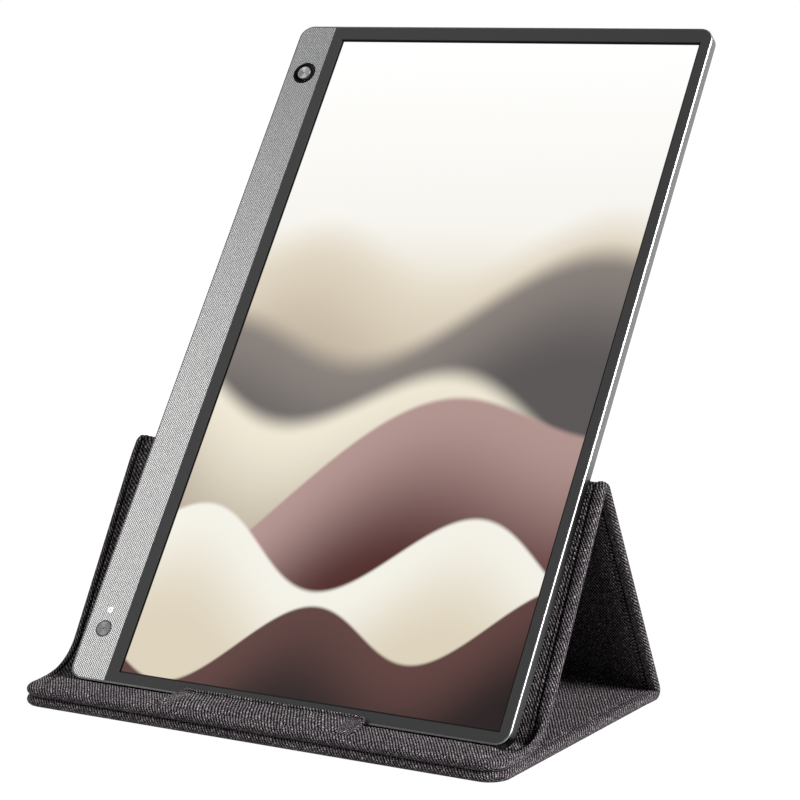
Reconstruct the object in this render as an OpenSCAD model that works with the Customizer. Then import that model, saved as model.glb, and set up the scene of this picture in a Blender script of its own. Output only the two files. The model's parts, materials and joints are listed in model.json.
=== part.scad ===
// Portable monitor standing upright on its folding cloth cover.
// The cover is four padded panels in a row: base, rear leg, backrest and lip.
// Three creases join them, and together they stand as a three-sided tent.
// The display stands in the lip's channel and leans on the top crease.
// X runs to the right, Y to the back and Z up, and all lengths are millimetres.

/* [Display body] */
// Thickness of the display, which stands on its short side
display_t = 8.95; // [8.6:0.05:11]
// Corner radius of the display in front view
display_corner_r = 7; // [5:0.5:10]
// Wall of the rear cover
wall_t = 1.2; // [1:0.1:1.6]
// Floor of the rear cover
floor_t = 1; // [0.8:0.1:1.2]
// Height of the slope round the rear cover's back edge
back_slope_h = 3.4; // [2.8:0.1:3.6]
// How far that slope runs inwards
back_slope_w = 1.9; // [1.5:0.1:2.1]
// Depth of the metal rim
rim_depth = 1.6; // [1.5:0.1:2]
// Width of the metal rim seen from the front
rim_w = 0.9; // [0.8:0.1:1.2]
// Polished bevel on the rim's front edge
rim_bevel = 0.35; // [0.25:0.05:0.6]
// Thickness of the front bezel and of the control strip
front_t = 0.9; // [0.7:0.05:1]

/* [Screen] */
// Width of the lit area
screen_w = 193.6; // [170:0.1:200]
// Height of the lit area
screen_h = 344.2; // [310:0.1:380]
// From the control strip to the lit area
bezel_left = 6.8; // [6.3:0.1:9]
// From the lit area to the body's right edge
bezel_right = 6.1; // [5.4:0.1:9]
// From the lit area to the body's top edge
bezel_top = 8.75; // [7:0.05:20]
// From the body's bottom edge to the lit area
bezel_bottom = 6.75; // [6:0.05:12]
// Dark border between the lit area and the bezel
screen_border = 0.9; // [0.3:0.1:1]
// Width of the patterned control strip
strip_w = 19; // [18:0.1:20]
// Thickness of the screen glass
glass_t = 1.1; // [0.9:0.1:1.2]
// Thickness of the backlight tray
tray_t = 1.8; // [1.6:0.1:2]
// Thickness of the tape behind the backlight
tape_t = 0.4; // [0.3:0.05:0.5]
// Thickness of the support plate
plate_t = 0.5; // [0.4:0.1:0.6]

/* [Controls] */
// Joystick centre, from the body's left edge
joystick_x = 10.6; // [10:0.1:11]
// Joystick centre, from the body's top edge
joystick_from_top = 28.5; // [22:0.5:34]
// Radius of the joystick's metal cap
joystick_cap_r = 3.55; // [3.2:0.05:3.7]
// Radius of the black ring round the joystick
joystick_ring_r = 6.1; // [5.8:0.05:6.3]
// Tilt of the joystick to each side in degrees
joystick_tilt = 7; // [4:1:8]
// Power button centre, from the body's left edge
power_x = 9.9; // [9.5:0.1:10.5]
// Power button centre, from the body's bottom edge
power_from_bottom = 25.4; // [24:0.1:32]
// Radius of the power button
power_r = 3.95; // [3.5:0.05:4.2]
// Travel of the power button and of the joystick when pressed
press_travel = 0.35; // [0.2:0.05:0.4]
// From the power button's centre up to the status light
light_spacing = 9.4; // [9:0.1:13]
// Radius of the status light
light_r = 1.5; // [1.2:0.1:1.8]

/* [Cover] */
// Width of the cover
cover_w = 248; // [242:1:280]
// Thickness of a padded panel
panel_t = 4.2; // [3.8:0.1:5]
// Corner radius of the base and the lip
cover_corner_r = 11; // [7:0.5:12]
// Length of the rear leg and of the backrest, crease to crease
leg_l = 118; // [100:1:135]
// From the lip's front edge to the display's foot
lip_front = 24.8; // [22:0.1:34]
// Thickness of the cloth over a board
cloth_t = 0.9; // [0.7:0.1:1.1]
// Thickness of a stiffening board
board_t = 2.4; // [2:0.1:2.6]
// From a panel's edge to the edge of its board
seam_inset = 6; // [5:0.5:8]
// From a crease to the edge of a board
crease_inset = 4; // [3:0.5:6]
// Radius of a crease magnet
magnet_r = 5; // [4:0.5:5]
// From the cover's side edge to a magnet's centre
magnet_inset = 28; // [20:1:40]

/* [Stance] */
// Angle of the legs to the table in degrees
stand_angle = 60; // [55:1:63]
// Angle of the display to the table in degrees
lean_angle = 55.5; // [50:0.5:57]
// How far the display stands right of the cover's middle
display_offset = 5; // [-5:0.5:5]
// Width of the channel that the display stands in
channel_d = 8.5; // [7:0.5:10]
// Cloth left under the channel
channel_floor_t = 2.9; // [2.4:0.1:3.2]

// Height of the soft pad along the lip, in front of the display
pad_h = 2.6; // [1.5:0.1:2.8]
// From the lip's front edge to the low edge of the pad
pad_front = 2.2; // [2:0.1:4]
// From the cover's side edge to the end of the pad
pad_side = 8; // [6:0.5:12]

/* [Stop tab] */
// Width of the tab at its free edge
tab_w = 96; // [60:1:140]
// How much wider the tab is at its crease, in all
tab_flare = 7; // [0:1:12]
// Thickness of the tab
tab_t = 1.6; // [1.4:0.1:2]
// From the tab's crease to the display's foot
tab_reach = 17.3; // [16.5:0.1:18.5]
// Angle of the tab to the lip in degrees
tab_angle = 11; // [10:1:16]
// Length of the tab's upturned edge
tab_upturn = 1.8; // [1:0.1:3]

/* [Hidden] */
$fn = 64;

fit_gap = 0.05;    // between pieces that are fixed to each other
run_gap = 0.3;     // between pieces that move past each other
crease_gap = 0.25; // from a crease's axis to a panel's inner face
cut = 1;           // how far a cutting shape runs past what it cuts
far = 400;         // half-size of a cutting block

// Outline of the display
display_w = rim_w + strip_w + bezel_left + screen_w + bezel_right;
display_h = bezel_bottom + screen_h + bezel_top;

// Side view of the stand: heights, then places along Y measured from the display's rear bottom edge.
axis_z = panel_t + crease_gap;
lip_z = axis_z + crease_gap;
foot_lift = min(back_slope_w * sin(lean_angle), back_slope_h * cos(lean_angle));
foot_z = lip_z + channel_floor_t + run_gap - foot_lift;
apex_z = axis_z + leg_l * sin(stand_angle);
apex_clear = axis_z + run_gap;
apex_from_foot = (apex_clear + (apex_z - foot_z) * cos(lean_angle)) / sin(lean_angle);
front_crease_from_foot = apex_from_foot - leg_l * cos(stand_angle);
front_from_foot = -lip_front;
lip_l = lip_front + front_crease_from_foot;
rear_from_foot = apex_from_foot + leg_l * cos(stand_angle) + axis_z;
top_from_foot = (display_h - back_slope_w) * cos(lean_angle);
foot_y = -(front_from_foot + max(top_from_foot, rear_from_foot)) / 2;

apex_y = foot_y + apex_from_foot;
front_crease_y = foot_y + front_crease_from_foot;
rear_crease_y = apex_y + leg_l * cos(stand_angle);
front_y = foot_y + front_from_foot;
base_l = rear_crease_y - front_y;

// Padded panels
lining_t = panel_t - cloth_t - board_t - 2 * fit_gap;
board_hem = seam_inset + 1.5;
apex_setback = 1.6;
apex_strip_r = apex_setback - run_gap;
magnet_t = 1.5;

// The channel in the lip, in the lip's own frame
channel_y = lip_front - (lip_z + panel_t - foot_z) * tan(lean_angle) - 2 * run_gap;
channel_end = 3.5;
lip_pocket_l = channel_y - seam_inset - 2;
magnet_y = seam_inset + lip_pocket_l / 2;

// The pad rises from its low edge to its back, just in front of the display's face
pad_back = lip_front - display_t * sin(lean_angle) - 0.5;
pad_steps = 8;
function pad_rise(y) = pad_h * (1 - pow(1 - (y - pad_front) / (pad_back - pad_front), 1.7));

// The stop tab lies back over the pad, and its upturned edge stands along the display's face
tab_crease_z = lip_z + panel_t + pad_rise(lip_front - tab_reach) + crease_gap;
tab_root_y = foot_y - tab_reach;
face_bottom_y = foot_y - display_t * sin(lean_angle);
face_bottom_z = foot_z + display_t * cos(lean_angle);
tab_tip_clear = 0.5;
tab_swing = 90;    // how far the tab swings forward
// Distance from the tab's crease to the display's face, and the tab's slope against that face
tab_to_face = (face_bottom_y - tab_root_y) * sin(lean_angle) - (face_bottom_z - tab_crease_z) * cos(lean_angle);
tab_l = (tab_to_face - tab_tip_clear) / sin(lean_angle - tab_angle);
tab_bend = lean_angle - tab_angle;

// Layers of the display, from its front face back, in the display's own frame
glass_z = -front_t - fit_gap;
tray_z = glass_z - glass_t - fit_gap;
tape_z = tray_z - tray_t - fit_gap;
plate_z = tape_z - tape_t - fit_gap;
floor_z = -display_t + floor_t;
pcb_t = 1;
pcb_lift = 0.7;
pcb_z = floor_z + pcb_lift + pcb_t;
// How far the back edge's slope has run in at a height z, in the display's own frame
function slope_in(z) = back_slope_w * max(0, 1 - (z + display_t) / back_slope_h);
board_clear = slope_in(pcb_z - pcb_t) + run_gap;
pcb_corner_r = display_corner_r - wall_t - board_clear;
rim_ledge_w = 1;
rim_ledge_t = rim_depth - front_t - fit_gap;

// Plan of the display, with X from its middle line and Y up from its bottom edge
body_left = -display_w / 2;
inner_w = display_w - 2 * (rim_w + fit_gap);
inner_h = display_h - 2 * (rim_w + fit_gap);
inner_r = display_corner_r - rim_w - fit_gap;
strip_edge = body_left + rim_w + strip_w;
screen_x = display_w / 2 - bezel_right - screen_w / 2;
screen_y = bezel_bottom + screen_h / 2;
panel_margin = 3.2;
panel_side_margin = 2.2;
panel_left = strip_edge + run_gap;
panel_right = screen_x + screen_w / 2 + panel_side_margin;
panel_w = panel_right - panel_left;
panel_h = screen_h + 2 * panel_margin;
panel_x = (panel_left + panel_right) / 2;
tray_wall = 0.3;
led_w = 2.5;
led_end = 4;
edge_gap = 1;      // from the panel's edge to a plate or board behind it
driver_w = 9;
driver_h = 0.55 * panel_h;
driver_t = 0.6;
driver_x = panel_left + edge_gap + driver_w / 2;
plate_left = driver_x + driver_w / 2 + 3;
plate_w = panel_right - edge_gap - plate_left;
plate_margin = 6;
plate_h = panel_h - 2 * plate_margin;
plate_x = plate_left + plate_w / 2;
plate_screw_inset = 8;
plate_hole_r = 7;
tape_w = 6;
tape_end = 20;
driver_chip = [4, 14, 0.7];
driver_chip_y = 30;
flex_t = 0.12;
flex_w = 12;
flex_land = 3;
flex_count = 6;

// Boards under the control strip
pcb_w = 15.5;
pcb_x = body_left + wall_t + board_clear + pcb_w / 2;
screw_inset = 2.2;
joy_x = body_left + joystick_x;
joy_y = display_h - joystick_from_top;
btn_x = body_left + power_x;
btn_y = power_from_bottom;
main_pcb_top = display_h - wall_t - board_clear;
main_pcb_l = 236;
main_pcb_y = main_pcb_top - main_pcb_l / 2;
btn_pcb_l = 40;
btn_pcb_shift = 6;
btn_pcb_y = btn_y + btn_pcb_shift;
btn_cable_w = 6;
btn_cable_aside = 3;
btn_cable_x = pcb_x - btn_cable_aside;
cable_overlap = 4;
btn_cable_from = btn_pcb_y + btn_pcb_l / 2 - cable_overlap;
btn_cable_to = main_pcb_y - main_pcb_l / 2 + cable_overlap;
ribbon_w = 16;
ribbon_y = screen_y;
clamp_l = 3;
clamp_h = 0.8;
clamp_rim = 1;
chip_above_middle = 6;
chip_y = main_pcb_y + chip_above_middle;
chip_up = 16;
chip_down = 15;
sound_chip_from_top = 40;
spare_socket_gap = 4;
chip_aside = 2;
can_l = 56;
can_w = 13;
can_h = 2.2;
can_wall = 0.3;
usb_w = 8.94;
usb_t = 3.16;
usb_l = 7.3;
usb_shell = 0.25;
usb_tongue = [6.8, 5.8, 0.7];
usb_x = pcb_x + 1;
usb_z = pcb_z + fit_gap + usb_t / 2;
usb_inset = slope_in(usb_z - usb_t / 2) + run_gap;
boss_r = 2;
screw_bite = 0.6;  // how deep a board's screw goes into its boss
screw_end_gap = 0.95;
board_head_h = 0.7;
screw_r = 0.8;
screw_hole_r = screw_r + fit_gap;
head_r = 1.6;

// Places of the screws, as [x, y]
main_screws = [for (k = [0.04, 0.28, 0.9]) [pcb_x - pcb_w / 2 + screw_inset, main_pcb_top - main_pcb_l * k]];
btn_screws = [for (side = [-1, 1]) [pcb_x + pcb_w / 2 - screw_inset, btn_pcb_y + side * (btn_pcb_l / 2 - 3)]];
plate_screws_at = [
    for (ky = [-1, 0, 1]) for (kx = [-1, 1])
        [plate_x + kx * (plate_w / 2 - plate_screw_inset), screen_y + ky * (plate_h / 2 - plate_screw_inset)]
];

// Joystick, downwards from the front face
joy_pivot_z = -3.3;
joy_cap_top = 0.6;
joy_cap_t = 1.4;
joy_pin_r = 0.3;
joy_pin_hole_r = 0.4;
joy_rocker = [3, 2.2, 1.2];
joy_ear_t = 0.5;
joy_ear_gap = 0.15;
joy_ear_rise = 0.6;
joy_plunger_r = 2.35;
joy_well_r = 2.6;
joy_well_depth = 1.7;
joy_switch_w = 6.6;
joy_switch_top = -4.1;
joy_sweep = joystick_cap_r + (joy_cap_top - joy_pivot_z) * sin(joystick_tilt) + 0.15;
switch_top_z = pcb_z + 1.6;
power_flange_r = power_r + 0.6;
power_hole_r = power_r + 0.2;
power_proud = 0.1;
power_dot_r = 0.3;
stem_r = 1.3;
flange_t = 0.5;
light_y = btn_y + light_spacing;

// ---------- placing ----------

module at_crease(y, z, angle) {
    translate([0, y, z]) rotate([angle, 0, 0]) children();
}

module on_base() {
    at_crease(rear_crease_y, axis_z, 180) translate([0, 0, crease_gap]) children();
}

module on_rear_leg() {
    at_crease(apex_y, apex_z, -stand_angle) translate([0, 0, crease_gap]) children();
}

module on_backrest() {
    at_crease(front_crease_y, axis_z, stand_angle) translate([0, 0, crease_gap]) children();
}

module on_lip() {
    translate([0, front_y, lip_z]) children();
}

module on_tab() {
    at_crease(tab_root_y, tab_crease_z, tab_angle) children();
}

module on_display() {
    translate([display_offset, foot_y, foot_z])
        rotate([lean_angle, 0, 0]) translate([0, 0, display_t]) children();
}

// ---------- shared shapes ----------

module rounded_rect(w, h, r) {
    for (kx = [-1, 1]) for (ky = [-1, 1])
        translate([kx * (w / 2 - r), ky * (h / 2 - r)]) circle(r);
    square([w, h - 2 * r], center = true);
    square([w - 2 * r, h], center = true);
}

// A box centred in X and Y that stands on z
module block(size, x, y, z) {
    translate([x - size[0] / 2, y - size[1] / 2, z]) cube(size);
}

module disc(r, h, x, y, z) {
    translate([x, y, z]) cylinder(r = r, h = h);
}

// Sweeps a cross-section round a rectangle with round corners.
// The section's X is measured outwards from the corners' centres.
module sweep_round(w, h, r) {
    side_x = w / 2 - r;
    side_y = h / 2 - r;
    for (side = [0, 1]) mirror([side, 0, 0]) {
        translate([side_x, side_y, 0]) rotate([90, 0, 0]) linear_extrude(2 * side_y) children();
        for (end = [0, 1]) mirror([0, end, 0])
            translate([side_x, side_y, 0]) rotate_extrude(angle = 90) children();
    }
    for (end = [0, 1]) mirror([0, end, 0])
        translate([-side_x, side_y, 0]) rotate([90, 0, 90]) linear_extrude(2 * side_x) children();
}

// Section through a padded panel: a bar with round ends
module pill(w) {
    translate([0, panel_t / 2]) {
        square([w - panel_t, panel_t], center = true);
        for (side = [-1, 1]) translate([side * (w - panel_t) / 2, 0]) circle(panel_t / 2);
    }
}

module half_pill(r) {
    square([r - panel_t / 2, panel_t]);
    translate([r - panel_t / 2, panel_t / 2]) circle(panel_t / 2);
}

// A panel with both ends at creases
module crease_slab(l) {
    translate([0, l, 0]) rotate([90, 0, 0]) linear_extrude(l) pill(cover_w);
}

// A panel with a crease at y = 0 and a free rounded end at y = l
module free_slab(l) {
    r = cover_corner_r;
    side_x = cover_w / 2 - r;
    crease_slab(l - r);
    translate([-side_x, l - r, 0]) rotate([90, 0, 90]) linear_extrude(2 * side_x) half_pill(r);
    for (side = [0, 1]) mirror([side, 0, 0])
        translate([side_x, l - r, 0]) rotate_extrude(angle = 90) half_pill(r);
}

// Cloth that goes on from a panel's end at y = 0, round the crease's axis
module crease_wrap(span) {
    translate([0, 0, -crease_gap]) rotate([90, 0, 90]) rotate([0, 0, 90]) rotate_extrude(angle = span)
        translate([crease_gap + panel_t, 0]) rotate([0, 0, 90]) pill(cover_w);
}

// The pocket that holds a board and its lining, open at the panel's inner face
module pocket(y, l) {
    block([cover_w - 2 * seam_inset, l, cut + panel_t - cloth_t], 0, y + l / 2, -cut);
}

module board_in(y, l) {
    size = [cover_w - 2 * seam_inset - 2 * fit_gap, l - 2 * fit_gap, board_t];
    block(size, 0, y + l / 2, lining_t + fit_gap);
}

module lining_in(y, l) {
    block([cover_w - 2 * seam_inset - 2 * fit_gap, l - 2 * fit_gap, lining_t], 0, y + l / 2, 0);
}

module magnets(y, r) {
    for (side = [-1, 1])
        disc(r, magnet_t, side * (cover_w / 2 - magnet_inset), y, lining_t + fit_gap);
}

module magnet_holes(y) {
    for (side = [-1, 1])
        disc(magnet_r + fit_gap, board_t + 2 * cut, side * (cover_w / 2 - magnet_inset), y, lining_t - cut);
}

// ---------- cover: base ----------

base_pocket_l = base_l - crease_inset - seam_inset;
// The base and the rear leg each carry half of the cloth round the rear crease
wrap_split = 3;
wrap_share = (180 - stand_angle - wrap_split) / 2;

module base_cloth() {
    color("#3b383b") on_base() {
        difference() {
            free_slab(base_l);
            pocket(crease_inset, base_pocket_l);
        }
        crease_wrap(wrap_share);
    }
}

module base_board() {
    color("#6f6a60") on_base() difference() {
        board_in(crease_inset, base_pocket_l);
        magnet_holes(base_l - magnet_y);
    }
}

module base_lining() {
    color("#363336") on_base() lining_in(crease_inset, base_pocket_l);
}

module base_magnets() {
    color("#b9bcc0") on_base() magnets(base_l - magnet_y, magnet_r);
}

// ---------- cover: rear leg and backrest ----------

leg_pocket_l = leg_l - apex_setback - 2 * crease_inset;

module rear_leg_cloth() {
    color("#3b383b") on_rear_leg() {
        difference() {
            translate([0, apex_setback, 0]) crease_slab(leg_l - apex_setback);
            pocket(apex_setback + crease_inset, leg_pocket_l);
        }
        translate([0, leg_l, 0]) mirror([0, 1, 0]) crease_wrap(wrap_share);
    }
}

module rear_leg_board() {
    color("#6f6a60") on_rear_leg() board_in(apex_setback + crease_inset, leg_pocket_l);
}

module rear_leg_lining() {
    color("#363336") on_rear_leg() lining_in(apex_setback + crease_inset, leg_pocket_l);
}

// The folded cloth along the top crease, between the ends of the two panels
module apex_strip() {
    l = cover_w - panel_t;
    color("#2f2c2f") on_rear_leg() translate([-l / 2, apex_setback - fit_gap - apex_strip_r, apex_strip_r])
        rotate([0, 90, 0]) cylinder(r = apex_strip_r, h = l);
}

module backrest_cloth() {
    color("#3b383b") on_backrest() difference() {
        crease_slab(leg_l - apex_setback);
        pocket(2 * crease_inset, leg_pocket_l - crease_inset);
        // Mitre against the lip
        translate([0, 0, -crease_gap]) rotate([-stand_angle / 2, 0, 0])
            block([cover_w + 2 * cut, far, far], 0, run_gap / 2 - far / 2, -far / 2);
    }
}

module backrest_board() {
    color("#6f6a60") on_backrest() board_in(2 * crease_inset, leg_pocket_l - crease_inset);
}

module backrest_lining() {
    color("#363336") on_backrest() lining_in(2 * crease_inset, leg_pocket_l - crease_inset);
}

// ---------- cover: lip and stop tab ----------

module lip_pad() {
    w = cover_w - 2 * pad_side;
    low = panel_t - cloth_t / 2;
    step = (pad_back - pad_front) / pad_steps;
    translate([-w / 2, 0, 0]) rotate([90, 0, 90]) linear_extrude(w) polygon([
        [pad_back, low], [pad_front, low],
        for (k = [0 : pad_steps]) let (y = pad_front + k * step) [y, panel_t + pad_rise(y)]
    ]);
}

module lip_cloth() {
    color("#3b383b") on_lip() difference() {
        union() {
            translate([0, lip_l, 0]) mirror([0, 1, 0]) free_slab(lip_l);
            lip_pad();
        }
        pocket(seam_inset, lip_pocket_l);
        // Channel for the display's foot
        block([display_w + channel_end, channel_d, panel_t],
            display_offset, channel_y + channel_d / 2, channel_floor_t);
        // Mitre against the backrest
        translate([0, lip_l, -crease_gap]) rotate([stand_angle / 2, 0, 0])
            block([cover_w + 2 * cut, far, far], 0, far / 2 - run_gap / 2, -far / 2);
    }
}

module lip_board() {
    color("#6f6a60") on_lip() difference() {
        board_in(seam_inset, lip_pocket_l);
        magnet_holes(magnet_y);
    }
}

module lip_lining() {
    color("#363336") on_lip() lining_in(seam_inset, lip_pocket_l);
}

module lip_magnets() {
    color("#b9bcc0") on_lip() magnets(magnet_y, magnet_r);
}

tab_skin = 0.5;
tab_hem = 2;

module tab_cloth() {
    root = tab_w + tab_flare;
    nose = 2.5;
    tip = tab_l + tab_upturn * cos(tab_bend);
    rise = tab_upturn * sin(tab_bend);
    color("#3b383b") on_tab() difference() {
        intersection() {
            translate([-root / 2, 0, 0]) rotate([90, 0, 90]) linear_extrude(root) polygon([
                [0, 0], [tab_l, 0], [tip, rise],
                [tip - tab_t * sin(tab_bend), rise + tab_t * cos(tab_bend)],
                [tab_l - tab_t * tan(tab_bend / 2), tab_t], [0, tab_t]
            ]);
            translate([0, 0, -cut]) linear_extrude(rise + tab_t + 2 * cut) polygon([
                [-root / 2, 0], [root / 2, 0],
                [tab_w / 2, tip - nose], [tab_w / 2 - nose, tip],
                [-tab_w / 2 + nose, tip], [-tab_w / 2, tip - nose]
            ]);
        }
        block([tab_w - 2 * tab_hem, tab_l - 2 * tab_hem, tab_t - tab_skin + cut], 0, tab_l / 2, -cut);
        // Bevel that clears the lip when the tab has swung forward
        rotate([-tab_angle - tab_swing, 0, 0]) block([cover_w, far, far], 0, 0, -far);
    }
}

module tab_stiffener() {
    size = [tab_w - 2 * tab_hem - 2 * fit_gap, tab_l - 2 * tab_hem - 2 * fit_gap, tab_t - tab_skin - fit_gap];
    color("#8d8a84") on_tab() block(size, 0, tab_l / 2, 0);
}

// ---------- display: housing ----------

rib_t = 1.2;
rib_end = 15;
rib_top = plate_z - plate_t - fit_gap;
usb_slot = 0.25;

module boss(x, y, top) {
    disc(boss_r, top - floor_z + fit_gap, x, y, floor_z - fit_gap);
}

module boss_hole(x, y, top) {
    disc(screw_r + fit_gap / 2, top - floor_z + cut, x, y, floor_z + fit_gap);
}

module rear_cover() {
    r = display_corner_r;
    wall_top = -rim_depth - fit_gap;
    slope_top = -display_t + back_slope_h;
    floor_in = wall_t + slope_in(floor_z);
    color("#85888c") on_display() difference() {
        union() {
            translate([0, display_h / 2, 0]) {
                sweep_round(display_w, display_h, r) polygon([
                    [r - floor_in, -display_t], [r - back_slope_w, -display_t],
                    [r, slope_top], [r, wall_top], [r - wall_t, wall_top],
                    [r - wall_t, slope_top], [r - floor_in, floor_z]
                ]);
                translate([0, 0, -display_t]) linear_extrude(floor_t)
                    rounded_rect(display_w - 2 * floor_in + fit_gap, display_h - 2 * floor_in + fit_gap,
                        r - floor_in + fit_gap / 2);
            }
            for (kx = [-0.25, 0.25])
                block([rib_t, plate_h - 2 * rib_end, rib_top - floor_z + fit_gap],
                    plate_x + kx * plate_w, screen_y, floor_z - fit_gap);
            for (ky = [-0.3, 0, 0.3])
                block([plate_w - 2 * rib_end, rib_t, rib_top - floor_z + fit_gap],
                    plate_x, screen_y + ky * plate_h, floor_z - fit_gap);
            for (p = plate_screws_at) boss(p[0], p[1], rib_top);
            for (p = concat(main_screws, btn_screws)) boss(p[0], p[1], pcb_z - pcb_t - fit_gap);
        }
        for (p = plate_screws_at) boss_hole(p[0], p[1], rib_top);
        for (p = concat(main_screws, btn_screws)) boss_hole(p[0], p[1], pcb_z);
        // Slot for the socket in the top wall
        block([usb_w + 2 * usb_slot, 2 * (wall_t + usb_inset) + cut, usb_t + 2 * usb_slot],
            usb_x, display_h, usb_z - usb_t / 2 - usb_slot);
    }
}

module metal_rim() {
    r = display_corner_r;
    color("#b4b7bb") on_display() translate([0, display_h / 2, 0])
        sweep_round(display_w, display_h, r) polygon([
            [r - rim_w, 0], [r - rim_bevel, 0], [r, -rim_bevel], [r, -rim_depth],
            [r - rim_w - rim_ledge_w, -rim_depth], [r - rim_w - rim_ledge_w, rim_ledge_t - rim_depth],
            [r - rim_w, rim_ledge_t - rim_depth]
        ]);
}

module front_plate() {
    translate([0, display_h / 2, -front_t]) linear_extrude(front_t)
        rounded_rect(inner_w, inner_h, inner_r);
}

module front_bezel() {
    color("#3c3c3d") on_display() difference() {
        front_plate();
        block([far, far, far], strip_edge + fit_gap - far / 2, display_h / 2, -far / 2);
        block([screen_w + 2 * screen_border, screen_h + 2 * screen_border, far], screen_x, screen_y, -far / 2);
    }
}

module control_strip() {
    color("#a3a4a4") on_display() difference() {
        front_plate();
        block([far, far, far], strip_edge + far / 2, display_h / 2, -far / 2);
        disc(joystick_ring_r + fit_gap, 2 * front_t, joy_x, joy_y, -1.5 * front_t);
        disc(power_hole_r, 2 * front_t, btn_x, btn_y, -1.5 * front_t);
        disc(light_r + fit_gap, 2 * front_t, btn_x, light_y, -1.5 * front_t);
    }
}

// ---------- display: panel ----------

module lcd_glass() {
    color("#d9cdb8") on_display() block([panel_w, panel_h, glass_t], panel_x, screen_y, glass_z - glass_t);
}

module backlight_tray() {
    inner = [panel_w - 2 * tray_wall, panel_h - 2 * tray_wall, tray_t];
    color("#c9ccd0") on_display() difference() {
        block([panel_w, panel_h, tray_t], panel_x, screen_y, tray_z - tray_t);
        block(inner, panel_x, screen_y, tray_z - tray_t + tray_wall);
    }
}

module light_guide() {
    w = panel_w - 2 * tray_wall - led_w - 3 * fit_gap;
    size = [w, panel_h - 2 * tray_wall - 2 * fit_gap, tray_t - tray_wall - fit_gap];
    color("#eef2f4") on_display()
        block(size, panel_right - tray_wall - fit_gap - w / 2, screen_y, tray_z - size[2]);
}

module led_bar() {
    h = tray_t - tray_wall - fit_gap;
    x = panel_left + tray_wall + fit_gap + led_w / 2;
    color("#f4f1d8") on_display()
        block([led_w, panel_h - 2 * tray_wall - 2 * led_end, h], x, screen_y, tray_z - h);
}

module panel_tapes() {
    color("#1d1d1f") on_display() for (k = [-1, 0, 1])
        block([tape_w, plate_h - 2 * tape_end, tape_t],
            plate_x + k * 0.36 * plate_w, screen_y, tape_z - tape_t);
}

module support_plate() {
    color("#a9adb1") on_display() difference() {
        block([plate_w, plate_h, plate_t], plate_x, screen_y, plate_z - plate_t);
        for (p = plate_screws_at) disc(screw_hole_r, 2 * plate_t, p[0], p[1], plate_z - 1.5 * plate_t);
        for (kx = [-0.125, 0.125, 0.375, -0.375]) for (ky = [-0.15, 0.15])
            disc(plate_hole_r, 2 * plate_t,
                plate_x + kx * plate_w, screen_y + ky * plate_h, plate_z - 1.5 * plate_t);
    }
}

module screw(x, y, seat, l, head_h) {
    disc(head_r, head_h, x, y, seat + fit_gap);
    disc(screw_r, l + fit_gap, x, y, seat - l);
}

module plate_screws() {
    l = plate_z - floor_z - screw_end_gap;
    color("#54575b") on_display() for (p = plate_screws_at) screw(p[0], p[1], plate_z, l, tape_t - fit_gap);
}

module driver_board() {
    color("#2f5d4b") on_display() {
        block([driver_w, driver_h, driver_t], driver_x, screen_y, tape_z - driver_t);
        for (side = [-1, 1])
            block(driver_chip, driver_x, screen_y + side * driver_chip_y, tape_z - driver_t - driver_chip[2]);
    }
}

// Films that carry the picture lines from the glass round the tray's edge to the driver board
module panel_flexes() {
    edge = panel_left - fit_gap;
    top = glass_z - glass_t / 2;
    low = tape_z - driver_t - fit_gap - flex_t;
    color("#b5792c") on_display() for (k = [0 : flex_count - 1])
        translate([0, screen_y + driver_h * ((k + 0.5) / flex_count - 0.5) + flex_w / 2, 0]) rotate([90, 0, 0])
            linear_extrude(flex_w) polygon([
                [edge - flex_t, top], [edge, top], [edge, low + flex_t],
                [edge + flex_land, low + flex_t], [edge + flex_land, low], [edge - flex_t, low]
            ]);
}

ribbon_t = 0.15;
ribbon_low = pcb_z + fit_gap;
ribbon_high = tape_z - driver_t - fit_gap - flex_t - ribbon_t;
ribbon_lap = 6;
ribbon_reach = 8;
ribbon_step = [2, 1];
ribbon_from = strip_edge - ribbon_lap;
ribbon_to = panel_left + ribbon_reach;

// Flat cable from the main board up to the driver board
module ribbon_cable() {
    step = [strip_edge - ribbon_step[0], panel_left + ribbon_step[1]];
    color("#d7d2c4") on_display() translate([0, ribbon_y + ribbon_w / 2, 0]) rotate([90, 0, 0])
        linear_extrude(ribbon_w) polygon([
            [ribbon_from, ribbon_low], [step[0], ribbon_low], [step[1], ribbon_high], [ribbon_to, ribbon_high],
            [ribbon_to, ribbon_high + ribbon_t], [step[1], ribbon_high + ribbon_t],
            [step[0], ribbon_low + ribbon_t], [ribbon_from, ribbon_low + ribbon_t]
        ]);
}

// ---------- display: boards ----------

module pcb(l, y, screws) {
    difference() {
        translate([pcb_x, y, pcb_z - pcb_t]) linear_extrude(pcb_t) rounded_rect(pcb_w, l, pcb_corner_r);
        for (p = screws) disc(screw_hole_r, 2 * pcb_t, p[0], p[1], pcb_z - 1.5 * pcb_t);
    }
}

module main_board() {
    color("#23523f") on_display() pcb(main_pcb_l, main_pcb_y, main_screws);
}

// Each chip is [size, x from the board's middle line, y]
chips = [
    [[10, 12, 1.1], 0, chip_y],
    [[7, 9, 0.9], 0, chip_y + chip_up],
    [[6, 6, 0.8], 0, chip_y - chip_down],
    [[4, 5, 1], chip_aside, main_pcb_top - sound_chip_from_top],
    [[5, 5, 1.6], chip_aside, ribbon_y - ribbon_w - spare_socket_gap]
];

module board_chips() {
    color("#1b1b1d") on_display() for (c = chips) block(c[0], pcb_x + c[1], c[2], pcb_z + fit_gap);
}

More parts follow.
